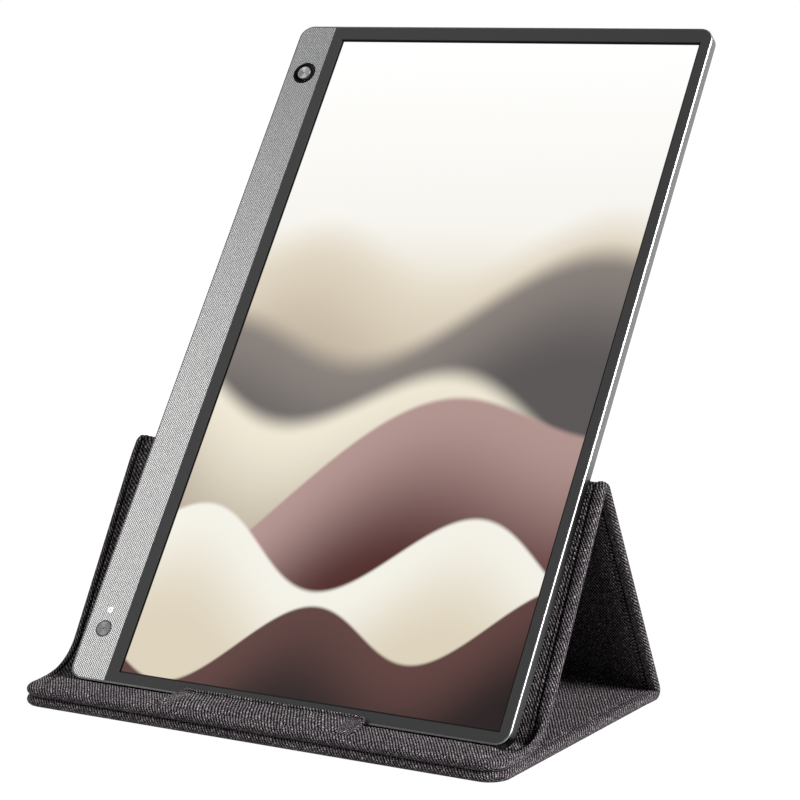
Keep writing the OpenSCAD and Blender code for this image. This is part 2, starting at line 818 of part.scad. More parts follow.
// Clamps over the ends of the flat cables
module cable_sockets() {
    ribbon_clamp = [clamp_l, ribbon_w + 2 * clamp_rim, clamp_h];
    btn_clamp = [btn_cable_w + 2 * clamp_rim, clamp_l, clamp_h];
    z = pcb_z + 2 * fit_gap + ribbon_t;
    color("#e6e3d8") on_display() {
        block(ribbon_clamp, ribbon_from + clamp_l / 2, ribbon_y, z);
        block(ribbon_clamp, ribbon_to - clamp_l / 2, ribbon_y, ribbon_high - fit_gap - clamp_h);
        for (y = [btn_cable_from + clamp_l / 2, btn_cable_to - clamp_l / 2])
            block(btn_clamp, btn_cable_x, y, z);
    }
}

module shield_can() {
    color("#c3c6c9") on_display() difference() {
        block([can_w, can_l, can_h], pcb_x, chip_y, pcb_z + fit_gap);
        block([can_w - 2 * can_wall, can_l - 2 * can_wall, can_h], pcb_x, chip_y, pcb_z + fit_gap - can_wall);
    }
}

module board_screws() {
    color("#54575b") on_display()
        for (p = concat(main_screws, btn_screws)) screw(p[0], p[1], pcb_z, pcb_t + screw_bite, board_head_h);
}

module usb_mouth(w, t) {
    rotate([90, 0, 0]) linear_extrude(usb_l) rounded_rect(w, t, t / 2 - 0.01);
}

module usb_c_port() {
    color("#c9ccd0") on_display() translate([usb_x, display_h - usb_inset, usb_z]) {
        difference() {
            usb_mouth(usb_w, usb_t);
            translate([0, usb_shell + cut, 0]) usb_mouth(usb_w - 2 * usb_shell, usb_t - 2 * usb_shell);
        }
        block(usb_tongue, 0, -usb_l + usb_shell + usb_tongue[1] / 2, -usb_tongue[2] / 2);
    }
}

module button_board() {
    color("#23523f") on_display() pcb(btn_pcb_l, btn_pcb_y, btn_screws);
}

// Flat cable between the two boards
module button_cable() {
    color("#d7d2c4") on_display()
        block([btn_cable_w, btn_cable_to - btn_cable_from, ribbon_t],
            btn_cable_x, (btn_cable_from + btn_cable_to) / 2, pcb_z + fit_gap);
}

module power_switch() {
    size = [5.2, 5.2, 1.1];
    plunger_r = 1.6;
    color("#2a2a2c") on_display() {
        block(size, btn_x, btn_y, pcb_z + fit_gap);
        disc(plunger_r, switch_top_z - pcb_z - fit_gap, btn_x, btn_y, pcb_z + fit_gap);
    }
}

module status_led() {
    color("#f5f5ef") on_display() block([1.6, 1, 0.6], btn_x, light_y, pcb_z + fit_gap);
}

module light_pipe() {
    foot = pcb_z + 1;
    pipe_r = 0.9;
    color("#f7f7f7") on_display() {
        disc(light_r, front_t, btn_x, light_y, -front_t);
        disc(light_r + 0.7, flange_t, btn_x, light_y, -front_t - fit_gap - flange_t);
        disc(pipe_r, -front_t - foot, btn_x, light_y, foot);
    }
}

// ---------- controls ----------

module power_button() {
    flange_top = -front_t - fit_gap;
    stem_bottom = switch_top_z + press_travel + fit_gap;
    color("#7d7f81") on_display() difference() {
        union() {
            disc(power_r, power_proud - flange_top, btn_x, btn_y, flange_top);
            disc(power_flange_r, flange_t, btn_x, btn_y, flange_top - flange_t);
            disc(stem_r, flange_top - stem_bottom, btn_x, btn_y, stem_bottom);
        }
        disc(power_dot_r, cut, btn_x, btn_y, -power_dot_r);
    }
}

module joystick_ring() {
    out = joystick_ring_r;
    low = -front_t - fit_gap;
    color("#121213") on_display() translate([joy_x, joy_y, 0]) rotate_extrude() polygon([
        [joy_sweep, low - flange_t], [out + 0.6, low - flange_t], [out + 0.6, low], [out, low],
        [out, -0.05], [out - 0.2, 0.15], [out - 0.6, 0.15], [joy_sweep, -0.35]
    ]);
}

module joystick_switch() {
    size = [joy_switch_w, joy_switch_w, joy_switch_top - pcb_z - fit_gap];
    color("#2a2a2c") on_display() difference() {
        block(size, joy_x, joy_y, pcb_z + fit_gap);
        disc(joy_well_r, joy_well_depth + cut, joy_x, joy_y, joy_switch_top - joy_well_depth);
    }
}

// Carries the rocker between two ears, and goes down when the cap is pressed
module joystick_plunger() {
    low = joy_switch_top - joy_well_depth + press_travel + run_gap;
    high = joy_pivot_z - joy_rocker[2] / 2 - run_gap;
    ear_x = joy_rocker[0] / 2 + joy_ear_gap + joy_ear_t / 2;
    ear_w = 1.6;
    color("#b8babd") on_display() translate([joy_x, joy_y, 0]) difference() {
        union() {
            disc(joy_plunger_r, high - low, 0, 0, low);
            for (side = [-1, 1])
                block([joy_ear_t, ear_w, joy_pivot_z + joy_ear_rise - low], side * ear_x, 0, low);
        }
        translate([-ear_x - cut, 0, joy_pivot_z]) rotate([0, 90, 0])
            cylinder(r = joy_pin_hole_r, h = 2 * ear_x + 2 * cut, $fn = 32);
    }
}

// Tilts about X in the plunger's ears, and carries the cap's arms on its Y pins
module joystick_rocker() {
    pin_x = joy_rocker[0] / 2 + joy_ear_gap + joy_ear_t;
    pin_y = joy_rocker[1] / 2 + joy_ear_gap + joy_ear_t;
    color("#8f9296") on_display() translate([joy_x, joy_y, joy_pivot_z]) {
        cube(joy_rocker, center = true);
        translate([-pin_x, 0, 0]) rotate([0, 90, 0]) cylinder(r = joy_pin_r, h = 2 * pin_x, $fn = 32);
        translate([0, pin_y, 0]) rotate([90, 0, 0]) cylinder(r = joy_pin_r, h = 2 * pin_y, $fn = 32);
    }
}

module joystick_cap() {
    arm_y = joy_rocker[1] / 2 + joy_ear_gap + joy_ear_t / 2;
    arm_w = 1.4;
    hub_z = joy_pivot_z + 1.1;
    hub_r = 1.2;
    foot_r = 1.9;
    foot_t = 0.4;
    low = joy_cap_top - joy_cap_t;
    color("#8a8c8e") on_display() translate([joy_x, joy_y, 0]) difference() {
        union() {
            rotate_extrude() polygon([
                [0, low], [joystick_cap_r, low], [joystick_cap_r, joy_cap_top - 0.2],
                [joystick_cap_r - 0.2, joy_cap_top], [joystick_cap_r - 0.7, joy_cap_top],
                [0, joy_cap_top - 0.15]
            ]);
            disc(hub_r, low - hub_z + fit_gap, 0, 0, hub_z);
            disc(foot_r, foot_t, 0, 0, hub_z);
            for (side = [-1, 1])
                block([arm_w, joy_ear_t, hub_z + foot_t / 2 - joy_pivot_z + joy_ear_rise],
                    0, side * arm_y, joy_pivot_z - joy_ear_rise);
        }
        translate([0, arm_y + cut, joy_pivot_z]) rotate([90, 0, 0])
            cylinder(r = joy_pin_hole_r, h = 2 * arm_y + 2 * cut, $fn = 32);
    }
}

base_cloth();
base_board();
base_lining();
base_magnets();
rear_leg_cloth();
rear_leg_board();
rear_leg_lining();
apex_strip();
backrest_cloth();
backrest_board();
backrest_lining();
lip_cloth();
lip_board();
lip_lining();
lip_magnets();
tab_cloth();
tab_stiffener();
rear_cover();
metal_rim();
front_bezel();
control_strip();
lcd_glass();
light_guide();
led_bar();
backlight_tray();
panel_tapes();
support_plate();
plate_screws();
driver_board();
panel_flexes();
ribbon_cable();
main_board();
board_chips();
shield_can();
cable_sockets();
board_screws();
usb_c_port();
button_board();
button_cable();
power_switch();
status_led();
light_pipe();
joystick_switch();
joystick_ring();
power_button();
joystick_plunger();
joystick_rocker();
joystick_cap();
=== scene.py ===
import json
import math

import bpy
import numpy as np
from mathutils import Matrix, Vector, noise


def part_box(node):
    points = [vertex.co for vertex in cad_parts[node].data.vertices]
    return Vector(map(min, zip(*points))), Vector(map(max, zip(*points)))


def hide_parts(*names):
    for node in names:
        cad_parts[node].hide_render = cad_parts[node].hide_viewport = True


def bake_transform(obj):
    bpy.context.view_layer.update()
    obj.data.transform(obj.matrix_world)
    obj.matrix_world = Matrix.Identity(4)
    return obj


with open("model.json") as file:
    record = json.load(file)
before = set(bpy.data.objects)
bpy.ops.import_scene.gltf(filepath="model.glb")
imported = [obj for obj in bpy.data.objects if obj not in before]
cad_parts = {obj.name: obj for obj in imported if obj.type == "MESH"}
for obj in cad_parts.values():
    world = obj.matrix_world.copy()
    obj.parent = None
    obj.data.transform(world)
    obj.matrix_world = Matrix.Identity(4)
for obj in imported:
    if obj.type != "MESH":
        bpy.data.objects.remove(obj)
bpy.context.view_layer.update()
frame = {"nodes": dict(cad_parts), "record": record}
mm = 0.001

record = frame["record"]
joints = {joint["name"]: joint for joint in record["behaviour"]["joints"]}
slotOf = {part["node"]: part["material_slot"] for part in record["subparts"]}


view = {
    "place": (0.584, -1.0083, 0.3042),
    "azimuth": 29.6,        # degrees round from the front
    "down": 8.2,
    "roll": 0.42,
    "lens": 114.3,
    "sensor": 36,
    "clip": (0.05, 400),
}


def makeCamera(v):
    bpy.ops.object.camera_add(location=v["place"])
    camera = bpy.context.object
    camera.name = "viewCamera"
    azimuth, down, roll = (math.radians(v[key]) for key in ("azimuth", "down", "roll"))
    ahead = Vector((-math.sin(azimuth) * math.cos(down), math.cos(azimuth) * math.cos(down), -math.sin(down)))
    side = ahead.cross(Vector((0, 0, 1))).normalized()
    up = side.cross(ahead)
    right = side * math.cos(roll) + up * math.sin(roll)
    top = up * math.cos(roll) - side * math.sin(roll)
    camera.rotation_euler = Matrix((right, top, -ahead)).transposed().to_euler()
    camera.data.lens = v["lens"]
    camera.data.sensor_width = v["sensor"]
    camera.data.clip_start, camera.data.clip_end = v["clip"]
    bpy.context.scene.camera = camera


makeCamera(view)
print("camera placed")


class Wire:  # one socket of a shader, with + - * / that add Math nodes
    def __init__(self, tree, socket=None):
        self.tree = tree
        self.socket = socket

    def node(self, kind, inputs=None, output=0, **settings):
        made = self.tree.nodes.new("ShaderNode" + kind)
        for key, value in settings.items():
            if key == "stops":
                setStops(made.color_ramp.elements, value)
            else:
                setattr(made, key, value)
        for key, value in (inputs or {}).items():
            if isinstance(value, Wire):
                self.tree.links.new(value.socket, made.inputs[key])
            else:
                made.inputs[key].default_value = value
        return Wire(self.tree, made.outputs[output])

    def maths(self, operation, *others):
        return self.node("Math", dict(enumerate((self, *others))), operation=operation)

    def __add__(self, other):
        return self.maths("ADD", other)

    def __sub__(self, other):
        return self.maths("SUBTRACT", other)

    def __mul__(self, other):
        return self.maths("MULTIPLY", other)

    def __truediv__(self, other):
        return self.maths("DIVIDE", other)

    def __rsub__(self, other):
        return self.node("Math", {0: other, 1: self}, operation="SUBTRACT")

    __radd__ = __add__
    __rmul__ = __mul__

    def sine(self):
        return self.maths("SINE")

    def root(self):
        return self.maths("SQRT")

    def floor(self):
        return self.maths("FLOOR")

    def power(self, other):
        return self.maths("POWER", other)

    def rise(self, low, high):  # 0 below low, 1 above high, smooth between
        return self.node("MapRange", {"Value": self, "From Min": low, "From Max": high},
                         interpolation_type="SMOOTHSTEP")


def setStops(elements, stops):  # a new ramp has two stops, which take the first two
    for k, (place, colour) in enumerate(stops):
        stop = elements[k] if k < 2 else elements.new(place)
        stop.position = place
        stop.color = (*colour, 1)


def mixed(factor, a, b, **settings):
    wire = next(w for w in (factor, a, b) if isinstance(w, Wire))
    a, b = (w if isinstance(w, Wire) else (*w, 1) for w in (a, b))
    return wire.node("Mix", {0: factor, 6: a, 7: b}, output=2, data_type="RGBA", **settings)


def cloud(place, scale, detail=2.0):
    return place.node("TexNoise", {"Vector": place, "Scale": scale, "Detail": detail})


def wave(wire):  # a sine between 0 and 1
    return wire.sine() * 0.5 + 0.5


def bumped(height, depth, strength=1.0):  # depth in metres
    return height.node("Bump", {"Height": height, "Distance": depth, "Strength": strength})


def times(colour, factor):
    return tuple(min(1, factor * k) for k in colour)


def newFinish(name, fixed):
    material = bpy.data.materials.new(name)
    material.use_nodes = True
    tree = material.node_tree
    shader = tree.nodes["Principled BSDF"]
    for key, value in fixed.items():
        shader.inputs[key].default_value = (*value, 1) if isinstance(value, tuple) else value
    return material, Wire(tree), shader


def paint(shader, **wires):
    names = {"colour": "Base Color", "rough": "Roughness", "glow": "Emission Color", "normal": "Normal",
             "metal": "Metallic"}
    for key, wire in wires.items():
        wire.tree.links.new(wire.socket, shader.inputs[names[key]])


def objectPlace(start):
    return start.node("TexCoord", output="Object")


def inMillimetres(place):  # x, y and z
    axes = place.node("SeparateXYZ", {0: place}).socket.node
    return [Wire(place.tree, axes.outputs[k]) / mm for k in range(3)]


def creaseAt(name):  # y and z of a joint's axis, in mm
    place = joints[name]["pos_m"]
    return np.array([place[1], place[2]]) / mm


display = {
    "lean": 55.5,           # degrees
    "thick": 8.95,
    "footAhead": 3.44,      # its rear bottom edge, ahead of its hinge
}

rearCrease = creaseAt("rear_crease")
apexCrease = creaseAt("apex_crease")
frontCrease = creaseAt("front_crease")
pivot = creaseAt("display_tilt")
lean = math.radians(display["lean"])
foot = np.array([pivot[0] - display["footAhead"], pivot[1]])
coverLow, coverHigh = (np.array(place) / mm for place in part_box("base_cloth"))
halfCover = (coverHigh[0] - coverLow[0]) / 2
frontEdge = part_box("lip_cloth")[0][1] / mm
displayLow, displayHigh = (np.array(place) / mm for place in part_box("rear_cover"))
displayMiddle = (displayLow[0] + displayHigh[0]) / 2


def displayPlace(start):  # across, up and out of the display's front, in mm
    place = objectPlace(start)
    x, y, z = inMillimetres(place)
    y, z = y - float(foot[0]), z - float(foot[1])
    up = y * math.cos(lean) + z * math.sin(lean)
    out = z * math.cos(lean) - y * math.sin(lean) - display["thick"]
    return place, x - float(displayMiddle), up, out


def smooth(value, low, high):
    t = np.clip((value - low) / (high - low), 0, 1)
    return t * t * (3 - 2 * t)


def band(value, rise, fall):  # up to 1 over the range rise, and back to 0 over the range fall
    return smooth(value, *rise) * (1 - smooth(value, *fall))


def dip(value, centre, width):
    return np.exp(-((value - centre) / width) ** 2)


def ripple(weave, scale, seed):
    return np.array([noise.noise((a / scale, b / scale, seed)) for a, b in weave])


def overDisplay(x, left, right):  # 1 across the display, fading over two distances on its left and its right
    return band(x, (displayLow[0] - left[0], displayLow[0] - left[1]),
                (displayHigh[0] + right[0], displayHigh[0] + right[1]))


class SideLine:  # straight runs and bends of the middle of the cloth, seen from the side
    def __init__(self):
        self.runs = []
        self.end = 0.0

    def straight(self, a, b):
        length = float(np.linalg.norm(b - a))
        self.runs.append(("straight", self.end, length, a, (b - a) / length, None))
        self.end += length

    def bend(self, centre, radius, fromAngle, sweep):
        length = abs(sweep) * radius
        self.runs.append(("bend", self.end, length, centre, radius, (fromAngle, sweep)))
        self.end += length

    def at(self, along):  # places and outward normals, for distances along the line
        place = np.zeros((len(along), 2))
        normal = np.zeros((len(along), 2))
        for k, (kind, start, length, origin, shape, angles) in enumerate(self.runs):
            isLast = k == len(self.runs) - 1
            before = (along < start + length) | isLast
            here = (along >= start - 1e-9) & before if k else before
            t = along[here] - start
            if kind == "straight":
                place[here] = origin + t[:, None] * shape
                normal[here] = (shape[1], -shape[0])
            else:
                fromAngle, sweep = angles
                angle = fromAngle + sweep * t / length
                spoke = np.stack([np.cos(angle), np.sin(angle)], 1)
                place[here] = origin + spoke * shape
                normal[here] = spoke * (1 if sweep > 0 else -1)
        return place, normal


cover = {
    "halfThick": 2.1,           # half of a padded panel
    "creaseGap": 0.25,          # from a panel's inner face to its crease
    "edgeRadius": 2.15,         # rounding of the panels' edges
    "cornerRadius": 11.0,       # free corners
    "bendRadius": 28.0,         # hollow bend between backrest and lip
    "stepAcross": 1.9,          # between the lines of the mesh
    "stepAlong": 1.6,
    "fineStep": 0.34,           # near the edges
    "fineTo": 9.4,
    "fineToEnd": 9.6,
    "roundSteps": 6,
    "bendLines": (6, 0.45),     # reach past a bend, and step
    "hollowStep": 1.0,
    "footLines": (30, 15.6, 0.36),  # from and to, before the lip's front edge, and step
    "smoothAngle": 50,
    "mergeWithin": 2e-6,        # metres
    "blendReach": {"rear": 4.6, "apex": 3.2, "front": 5.0},
    "blendAngle": {"rear": 60, "apex": 180, "front": 210},
    "fill": 0.9,
}

edges = {
    "rollHeight": 0.2,          # how far the edge roll stands over the panel
    "rollRise": (0.6, 2.4),
    "rollFall": (3.7, 5.3),
    "sink": 0.15,               # of the panel inside its roll
    "sinkAt": (4.4, 6.0),
    "seamAt": 5.5,              # seam groove, from the side edge
    "seamDepth": 1.1,
    "seamWidth": 0.5,
    "stitchAt": 7.5,            # second, shallow groove
    "stitchDepth": 0.34,
    "stitchWidth": 0.42,
    # painted shade in the second groove
    "paintedStitchShade": 0.45,
    "ridge": 0.1,               # cloth between the two grooves
    "puckerHeight": 0.05,
    "puckerPitch": 3.1,
    "puckerWidth": 1.4,
    "puckersFrom": (1, 3),
    "leftShift": 1.3,           # the left seams lie this much nearer the edge
    "leftBulge": 2.4,           # the left edge roll is pushed out
    "bulgeWidth": (4.2, 9.5),
    "bulgeRise": (-20, 10),     # from the top bend's two ends
    "bulgeFall": (-6, 12),      # from the hollow bend's far end
    "seamsOff": 30,
    "seamsOffAt": (2, 7),       # from the start of the lip's flat
}

folds = {
    "waviness": 0.11,           # uneven cloth
    "waveSizes": (27, 9),
    "wavesFrom": (0.5, 3),
    "gathers": 0.3,             # small gathers at the creases
    "gatherTurns": 2.9,         # radians per mm
    "gatherSlip": 6,
    "gatherLength": 5.5,
    "gatherAt": (3.4, 4.2),     # from the side edge, and width
    "gathersFrom": (0.4, 2),
    "pressedAt": 4.5,           # pressed lines, past the ends of a bend
    "pressedWidth": 0.8,
    "pressedFrom": (5, 8),
    "pressedDepth": 0.3,
    # painted shade along the pressed lines
    "paintedPressedShade": 0.35,
    "cornerBulk": 1.2,          # folded cloth at the rear corners
    "bulkLength": 7.0,
    "bulkAt": (2.2, 2.6),
    "bulkFrom": (0, 2),
    "paintedInsideShade": 0.6,         # painted shade inside the folded stand
    "insideFrom": (6, 14),
    "insidePast": 2,
    "underDisplay": 0.12,       # highest cloth where the display lies on the folded cover
    "underPanel": 0.1,
    "beside": 3,                # the roll outside the display may stand higher
    "besideFrom": (4.6, 5.8),
    "legsFrom": 12,
    "creaseDepth": 0.9,         # of the hollow bend, under the display
    "creaseWidth": 6.0,
    "creaseLeft": (6.0, 1.2),
    "creaseRight": (1.2, 4.6),
    "creaseSweep": 60,
}

lip = {
    "padHeight": 2.5,           # raised pad at the display's foot
    "padFront": 1.2,            # from the lip's front edge
    "padCrown": -8.3,           # from the display's foot
    "padCurve": 1.7,
    "padFall": (-9.6, -4.0),
    "padInset": 0.6,            # from the seam to the pad's end
    "padTaper": 0.26,
    "padRound": 3.4,
    "seamWidth": 0.6,
    "seamDepth": 0.6,
    # painted shade in the pad's seam and the join seam
    "paintedSeamShade": 0.7,
    "seamFront": (2, 8),
    "seamBack": (1.0, 5.0),
    "joinAt": -2.6,             # seam between the lip and the backrest
    "joinWidth": 0.75,
    "joinFrom": (4.5, 6.5),
    "pressLeft": (4.5, 1),
    "pressRight": (0.6, 3),
    "footHeight": 6.08,         # underside of the display's foot, and its slopes to the front and the back
    "footSlopes": (0.687, 1.3),
    "footReach": 6,
    "softness": 0.3,
}

laid = {
    "innerTurn": 5.7,           # degrees, of the weave on the inner faces
    "innerScale": 0.92,
}


def coverLine():  # from the base's front edge, round the two legs, to the lip's front edge
    thick = cover["halfThick"] + cover["creaseGap"]
    legUp = (apexCrease - rearCrease) / np.linalg.norm(apexCrease - rearCrease)
    legDown = (frontCrease - apexCrease) / np.linalg.norm(frontCrease - apexCrease)
    outRear = np.array([legUp[1], -legUp[0]])
    outFront = np.array([legDown[1], -legDown[0]])
    baseZ = rearCrease[1] - thick
    lipZ = frontCrease[1] + thick
    rearAngle = math.atan2(outRear[1], outRear[0])
    frontAngle = math.atan2(outFront[1], outFront[0])
    made = SideLine()
    made.straight(np.array([frontEdge, baseZ]), np.array([rearCrease[0], baseZ]))
    made.bend(rearCrease, thick, -math.pi / 2, rearAngle + math.pi / 2)
    made.straight(rearCrease + outRear * thick, apexCrease + outRear * thick)
    made.bend(apexCrease, thick, rearAngle, frontAngle - rearAngle)
    radius = cover["bendRadius"] + cover["halfThick"]
    sweep = frontAngle - math.pi / 2
    foldPoint = frontCrease + outFront * thick
    foldPoint = foldPoint - legDown * (lipZ - foldPoint[1]) / -legDown[1]
    reach = radius * math.tan(sweep / 2)
    bendFrom = foldPoint - legDown * reach
    made.straight(apexCrease + outFront * thick, bendFrom)
    made.bend(bendFrom + outFront * radius, radius, frontAngle + math.pi, -sweep)
    made.straight(np.array([foldPoint[0] - reach, lipZ]), np.array([frontEdge, lipZ]))
    return made


line = coverLine()
runStart = [run[1] for run in line.runs]
rearBend = (runStart[1], runStart[2])
topBend = (runStart[3], runStart[4])
frontBend = (runStart[5], runStart[6])
rearMiddle = (runStart[2] + runStart[3]) / 2
frontMiddle = (runStart[4] + runStart[5]) / 2


def roundExtra(radius):  # how much longer the cloth is than its panel, where it goes round an edge
    return radius * (math.pi / 2 - 1)


def unrolled(t, radius):  # distance from the edge and height, for a distance along cloth that goes round it
    quarter = radius * math.pi / 2
    turn = np.minimum(t, quarter) / radius
    edge = np.where(t < quarter, radius * (1 - np.cos(turn)), t - quarter + radius)
    height = np.where(t < quarter, radius * np.sin(turn), radius)
    return edge, height


def gridLines(start, stop, step, fine):  # even lines, with closer ones over the ranges in fine
    tiny = 1e-6
    marks = [start]
    while marks[-1] < stop - tiny:
        here = marks[-1]
        reach = step
        for low, high, small in fine:
            if low - tiny <= here < high - tiny:
                reach = min(reach, small)
            elif here < low:
                reach = min(reach, max(low - here, small))
        marks.append(min(here + reach, stop))
    if len(marks) > 2 and marks[-1] - marks[-2] < 0.3 * step:  # no sliver at the end
        marks.pop(-2)
    return np.array(marks)


def cornerToCorner(halfWidth, radius, fineTo):  # lines across, the same on both halves
    quarter = radius * math.pi / 2
    reach = halfWidth + roundExtra(radius)
    fine = [(0, quarter, quarter / cover["roundSteps"]), (quarter, fineTo, cover["fineStep"])]
    left = gridLines(0, reach, cover["stepAcross"], fine) - reach
    return np.concatenate([left, -left[-2::-1]])


def freeEndLines(place, sign, radius):  # closer lines over a free end's rounding and its seams
    outer = place + sign * roundExtra(radius)
    quarter = radius * math.pi / 2
    turned = outer - sign * quarter
    inner = place - sign * cover["fineToEnd"]
    return [(*sorted((outer, turned)), quarter / cover["roundSteps"]),
            (*sorted((turned, inner)), cover["fineStep"])]


def makeSheet(name, across, along):  # a flat grid with a second one under it, still loose at the edges
    bpy.ops.object.select_all(action="DESELECT")
    bpy.ops.mesh.primitive_grid_add(x_subdivisions=len(across) - 1, y_subdivisions=len(along) - 1, size=1)
    sheet = bpy.context.object
    sheet.name = sheet.data.name = name
    bpy.ops.object.mode_set(mode="EDIT")
    bpy.ops.mesh.select_all(action="SELECT")
    bpy.ops.mesh.duplicate()
    bpy.ops.mesh.flip_normals()
    bpy.ops.object.mode_set(mode="OBJECT")
    count = len(sheet.data.vertices)
    places = np.zeros(count * 3)
    sheet.data.vertices.foreach_get("co", places)
    places = places.reshape(-1, 3)
    column = np.rint((places[:, 0] + 0.5) * (len(across) - 1)).astype(int)
    row = np.rint((places[:, 1] + 0.5) * (len(along) - 1)).astype(int)
    upper = np.arange(count) < count // 2
    return sheet, across[column], along[row], upper


def placeOnSheet(x, s, halfWidth, freeEnds, corner, radius):  # rounds the free corners and the edges
    extra = roundExtra(radius)
    reach = corner + extra
    sideGap = halfWidth + extra - np.abs(x)
    endGap = np.full(len(x), 1e3)
    endSign = np.zeros(len(x))
    for place, sign in freeEnds:
        gap = (place - s) * sign + extra
        nearer = gap < endGap
        endGap = np.where(nearer, gap, endGap)
        endSign = np.where(nearer, sign, endSign)
    p, q = reach - sideGap, reach - endGap
    inCorner = (p > 0) & (q > 0)
    far, near = np.maximum(p, q), np.minimum(p, q)
    turn = near / np.maximum(far, 1e-9) * math.pi / 4
    toSide = np.where(p >= q, np.cos(turn), np.sin(turn))
    toEnd = np.where(p >= q, np.sin(turn), np.cos(turn))
    roundP = np.where(inCorner, far * toSide, p)
    roundQ = np.where(inCorner, far * toEnd, q)
    toSide = np.where(inCorner, toSide, p > 0)
    toEnd = np.where(inCorner, toEnd, q > 0)
    t = np.where(inCorner, reach - far, np.minimum(sideGap, endGap))
    edge, height = unrolled(t, radius)
    shift = t - edge - extra
    weave = np.stack([np.sign(x) * (np.abs(x) + roundP - p), s + endSign * (roundQ - q)], 1)
    place = weave + np.stack([np.sign(x) * toSide * shift, endSign * toEnd * shift], 1)
    side = halfWidth - np.abs(place[:, 0])
    return place, weave, edge, height, side


def layWeave(sheet, weave, upper, gaps, turned):  # the outer cloth goes round the edge as far as the seam
    loops = np.zeros(len(sheet.data.loops), int)
    sheet.data.loops.foreach_get("vertex_index", loops)
    faces = loops.reshape(-1, 4)
    places = weave[faces].copy()
    inner = ~upper[faces[:, 0]]
    places[inner, :, 0] *= -1
    turn = math.radians(laid["innerTurn"])
    across, along = places[inner, :, 0].copy(), places[inner, :, 1].copy()
    places[inner, :, 0] = laid["innerScale"] * (across * math.cos(turn) + along * math.sin(turn))
    places[inner, :, 1] = laid["innerScale"] * (along * math.cos(turn) - across * math.sin(turn))
    nearest = np.argmin([gap[faces].mean(1) for gap in gaps], axis=0)
    reach = edges["seamAt"] + cover["edgeRadius"]
    for k, (gap, way) in enumerate(zip(gaps, turned)):
        wrapped = inner & (nearest == k) & (gap[faces].mean(1) < reach)
        places[wrapped] = way[faces[wrapped]]
    sheet.data.uv_layers.remove(sheet.data.uv_layers[0])
    layer = sheet.data.uv_layers.new(name="weave")
    layer.data.foreach_set("uv", (places * mm).astype(np.float32).ravel())


def closeSheet(sheet, places, seamAndPaintedShade):  # joins the two grids at their edges, and keeps the painted shade of the seams as a point attribute
    mesh = sheet.data
    mesh.vertices.foreach_set("co", (places * mm).ravel())
    # painted shade of grooves, folds and the inside of the stand, stored per point
    mesh.attributes.new("seamAndPaintedShade", "FLOAT", "POINT").data.foreach_set("value", seamAndPaintedShade.astype(np.float32))
    mesh.update()
    bpy.ops.object.mode_set(mode="EDIT")
    bpy.ops.mesh.select_all(action="SELECT")
    bpy.ops.mesh.remove_doubles(threshold=cover["mergeWithin"])
    bpy.ops.mesh.select_all(action="DESELECT")
    bpy.ops.mesh.select_non_manifold(extend=False, use_wire=False, use_boundary=True, use_multi_face=False,
                                     use_non_contiguous=False, use_verts=False)
    bpy.ops.mesh.edge_face_add()
    bpy.ops.mesh.select_all(action="SELECT")
    bpy.ops.mesh.normals_make_consistent(inside=False)
    bpy.ops.object.mode_set(mode="OBJECT")
    bpy.ops.object.shade_smooth_by_angle(angle=math.radians(cover["smoothAngle"]))


def seamDistance(flat, side, edge, upper):  # what the grooves' places are measured in
    e = edges
    off = smooth(flat[:, 1], *(frontBend[1] + k for k in e["seamsOffAt"]))
    onLip = upper & (flat[:, 1] > frontBend[0])
    distance = np.where(onLip, side + e["seamsOff"] * off, np.minimum(side, edge))
    return distance + e["leftShift"] * (flat[:, 0] < 0)


def panelProfile(side, edge, height, s, seams):  # height of one face over the middle, and its seam grooves with their painted shade
    e = edges
    roll = band(edge, e["rollRise"], e["rollFall"])
    puckers = np.sin(s * 2 * math.pi / e["puckerPitch"]) * dip(side, e["seamAt"], e["puckerWidth"])
    puckers = e["puckerHeight"] * puckers * smooth(edge, *e["puckersFrom"])
    lift = e["rollHeight"] * roll - e["sink"] * smooth(edge, *e["sinkAt"]) + puckers
    seamAndPaintedShade = dip(seams, e["seamAt"], e["seamWidth"])
    stitch = dip(seams, e["stitchAt"], e["stitchWidth"])
    ridge = dip(seams, (e["seamAt"] + e["stitchAt"]) / 2, e["seamWidth"])
    lift = height + lift - e["seamDepth"] * seamAndPaintedShade - e["stitchDepth"] * stitch + e["ridge"] * ridge
    return lift, seamAndPaintedShade + e["paintedStitchShade"] * stitch


def clothFolds(flat, weave, side, edge):  # waves, and gathers and pressed lines beside the two upper creases, with painted shade along the pressed lines
    f = folds
    s = flat[:, 1]
    wide, narrow = f["waveSizes"]
    lift = f["waviness"] * (ripple(weave, wide, 1.5) + 0.5 * ripple(weave, narrow, 4.5))
    lift = lift * smooth(edge, *f["wavesFrom"])
    shade = np.zeros(len(s))
    for bend in (rearBend, topBend):
        pulls = np.sin(s * f["gatherTurns"] + 2 * ripple(weave, f["gatherSlip"], 8.5))
        pulls = pulls * dip(s, sum(bend) / 2, f["gatherLength"]) * dip(side, *f["gatherAt"])
        lift += f["gathers"] * pulls * smooth(edge, *f["gathersFrom"])
        for place in (bend[0] - f["pressedAt"], bend[1] + f["pressedAt"]):
            pressed = dip(s, place, f["pressedWidth"]) * smooth(side, *f["pressedFrom"])
            lift -= f["pressedDepth"] * pressed
            shade += f["paintedPressedShade"] * pressed
    bulk = dip(s, sum(rearBend) / 2, f["bulkLength"]) * dip(side, *f["bulkAt"]) * smooth(edge, *f["bulkFrom"])
    return lift + f["cornerBulk"] * bulk, shade


def footLimit(yFoot):  # the cloth stays under the display's foot
    front, back = lip["footSlopes"]
    return lip["footHeight"] + np.where(yFoot < 0, -front * yFoot, back * yFoot)


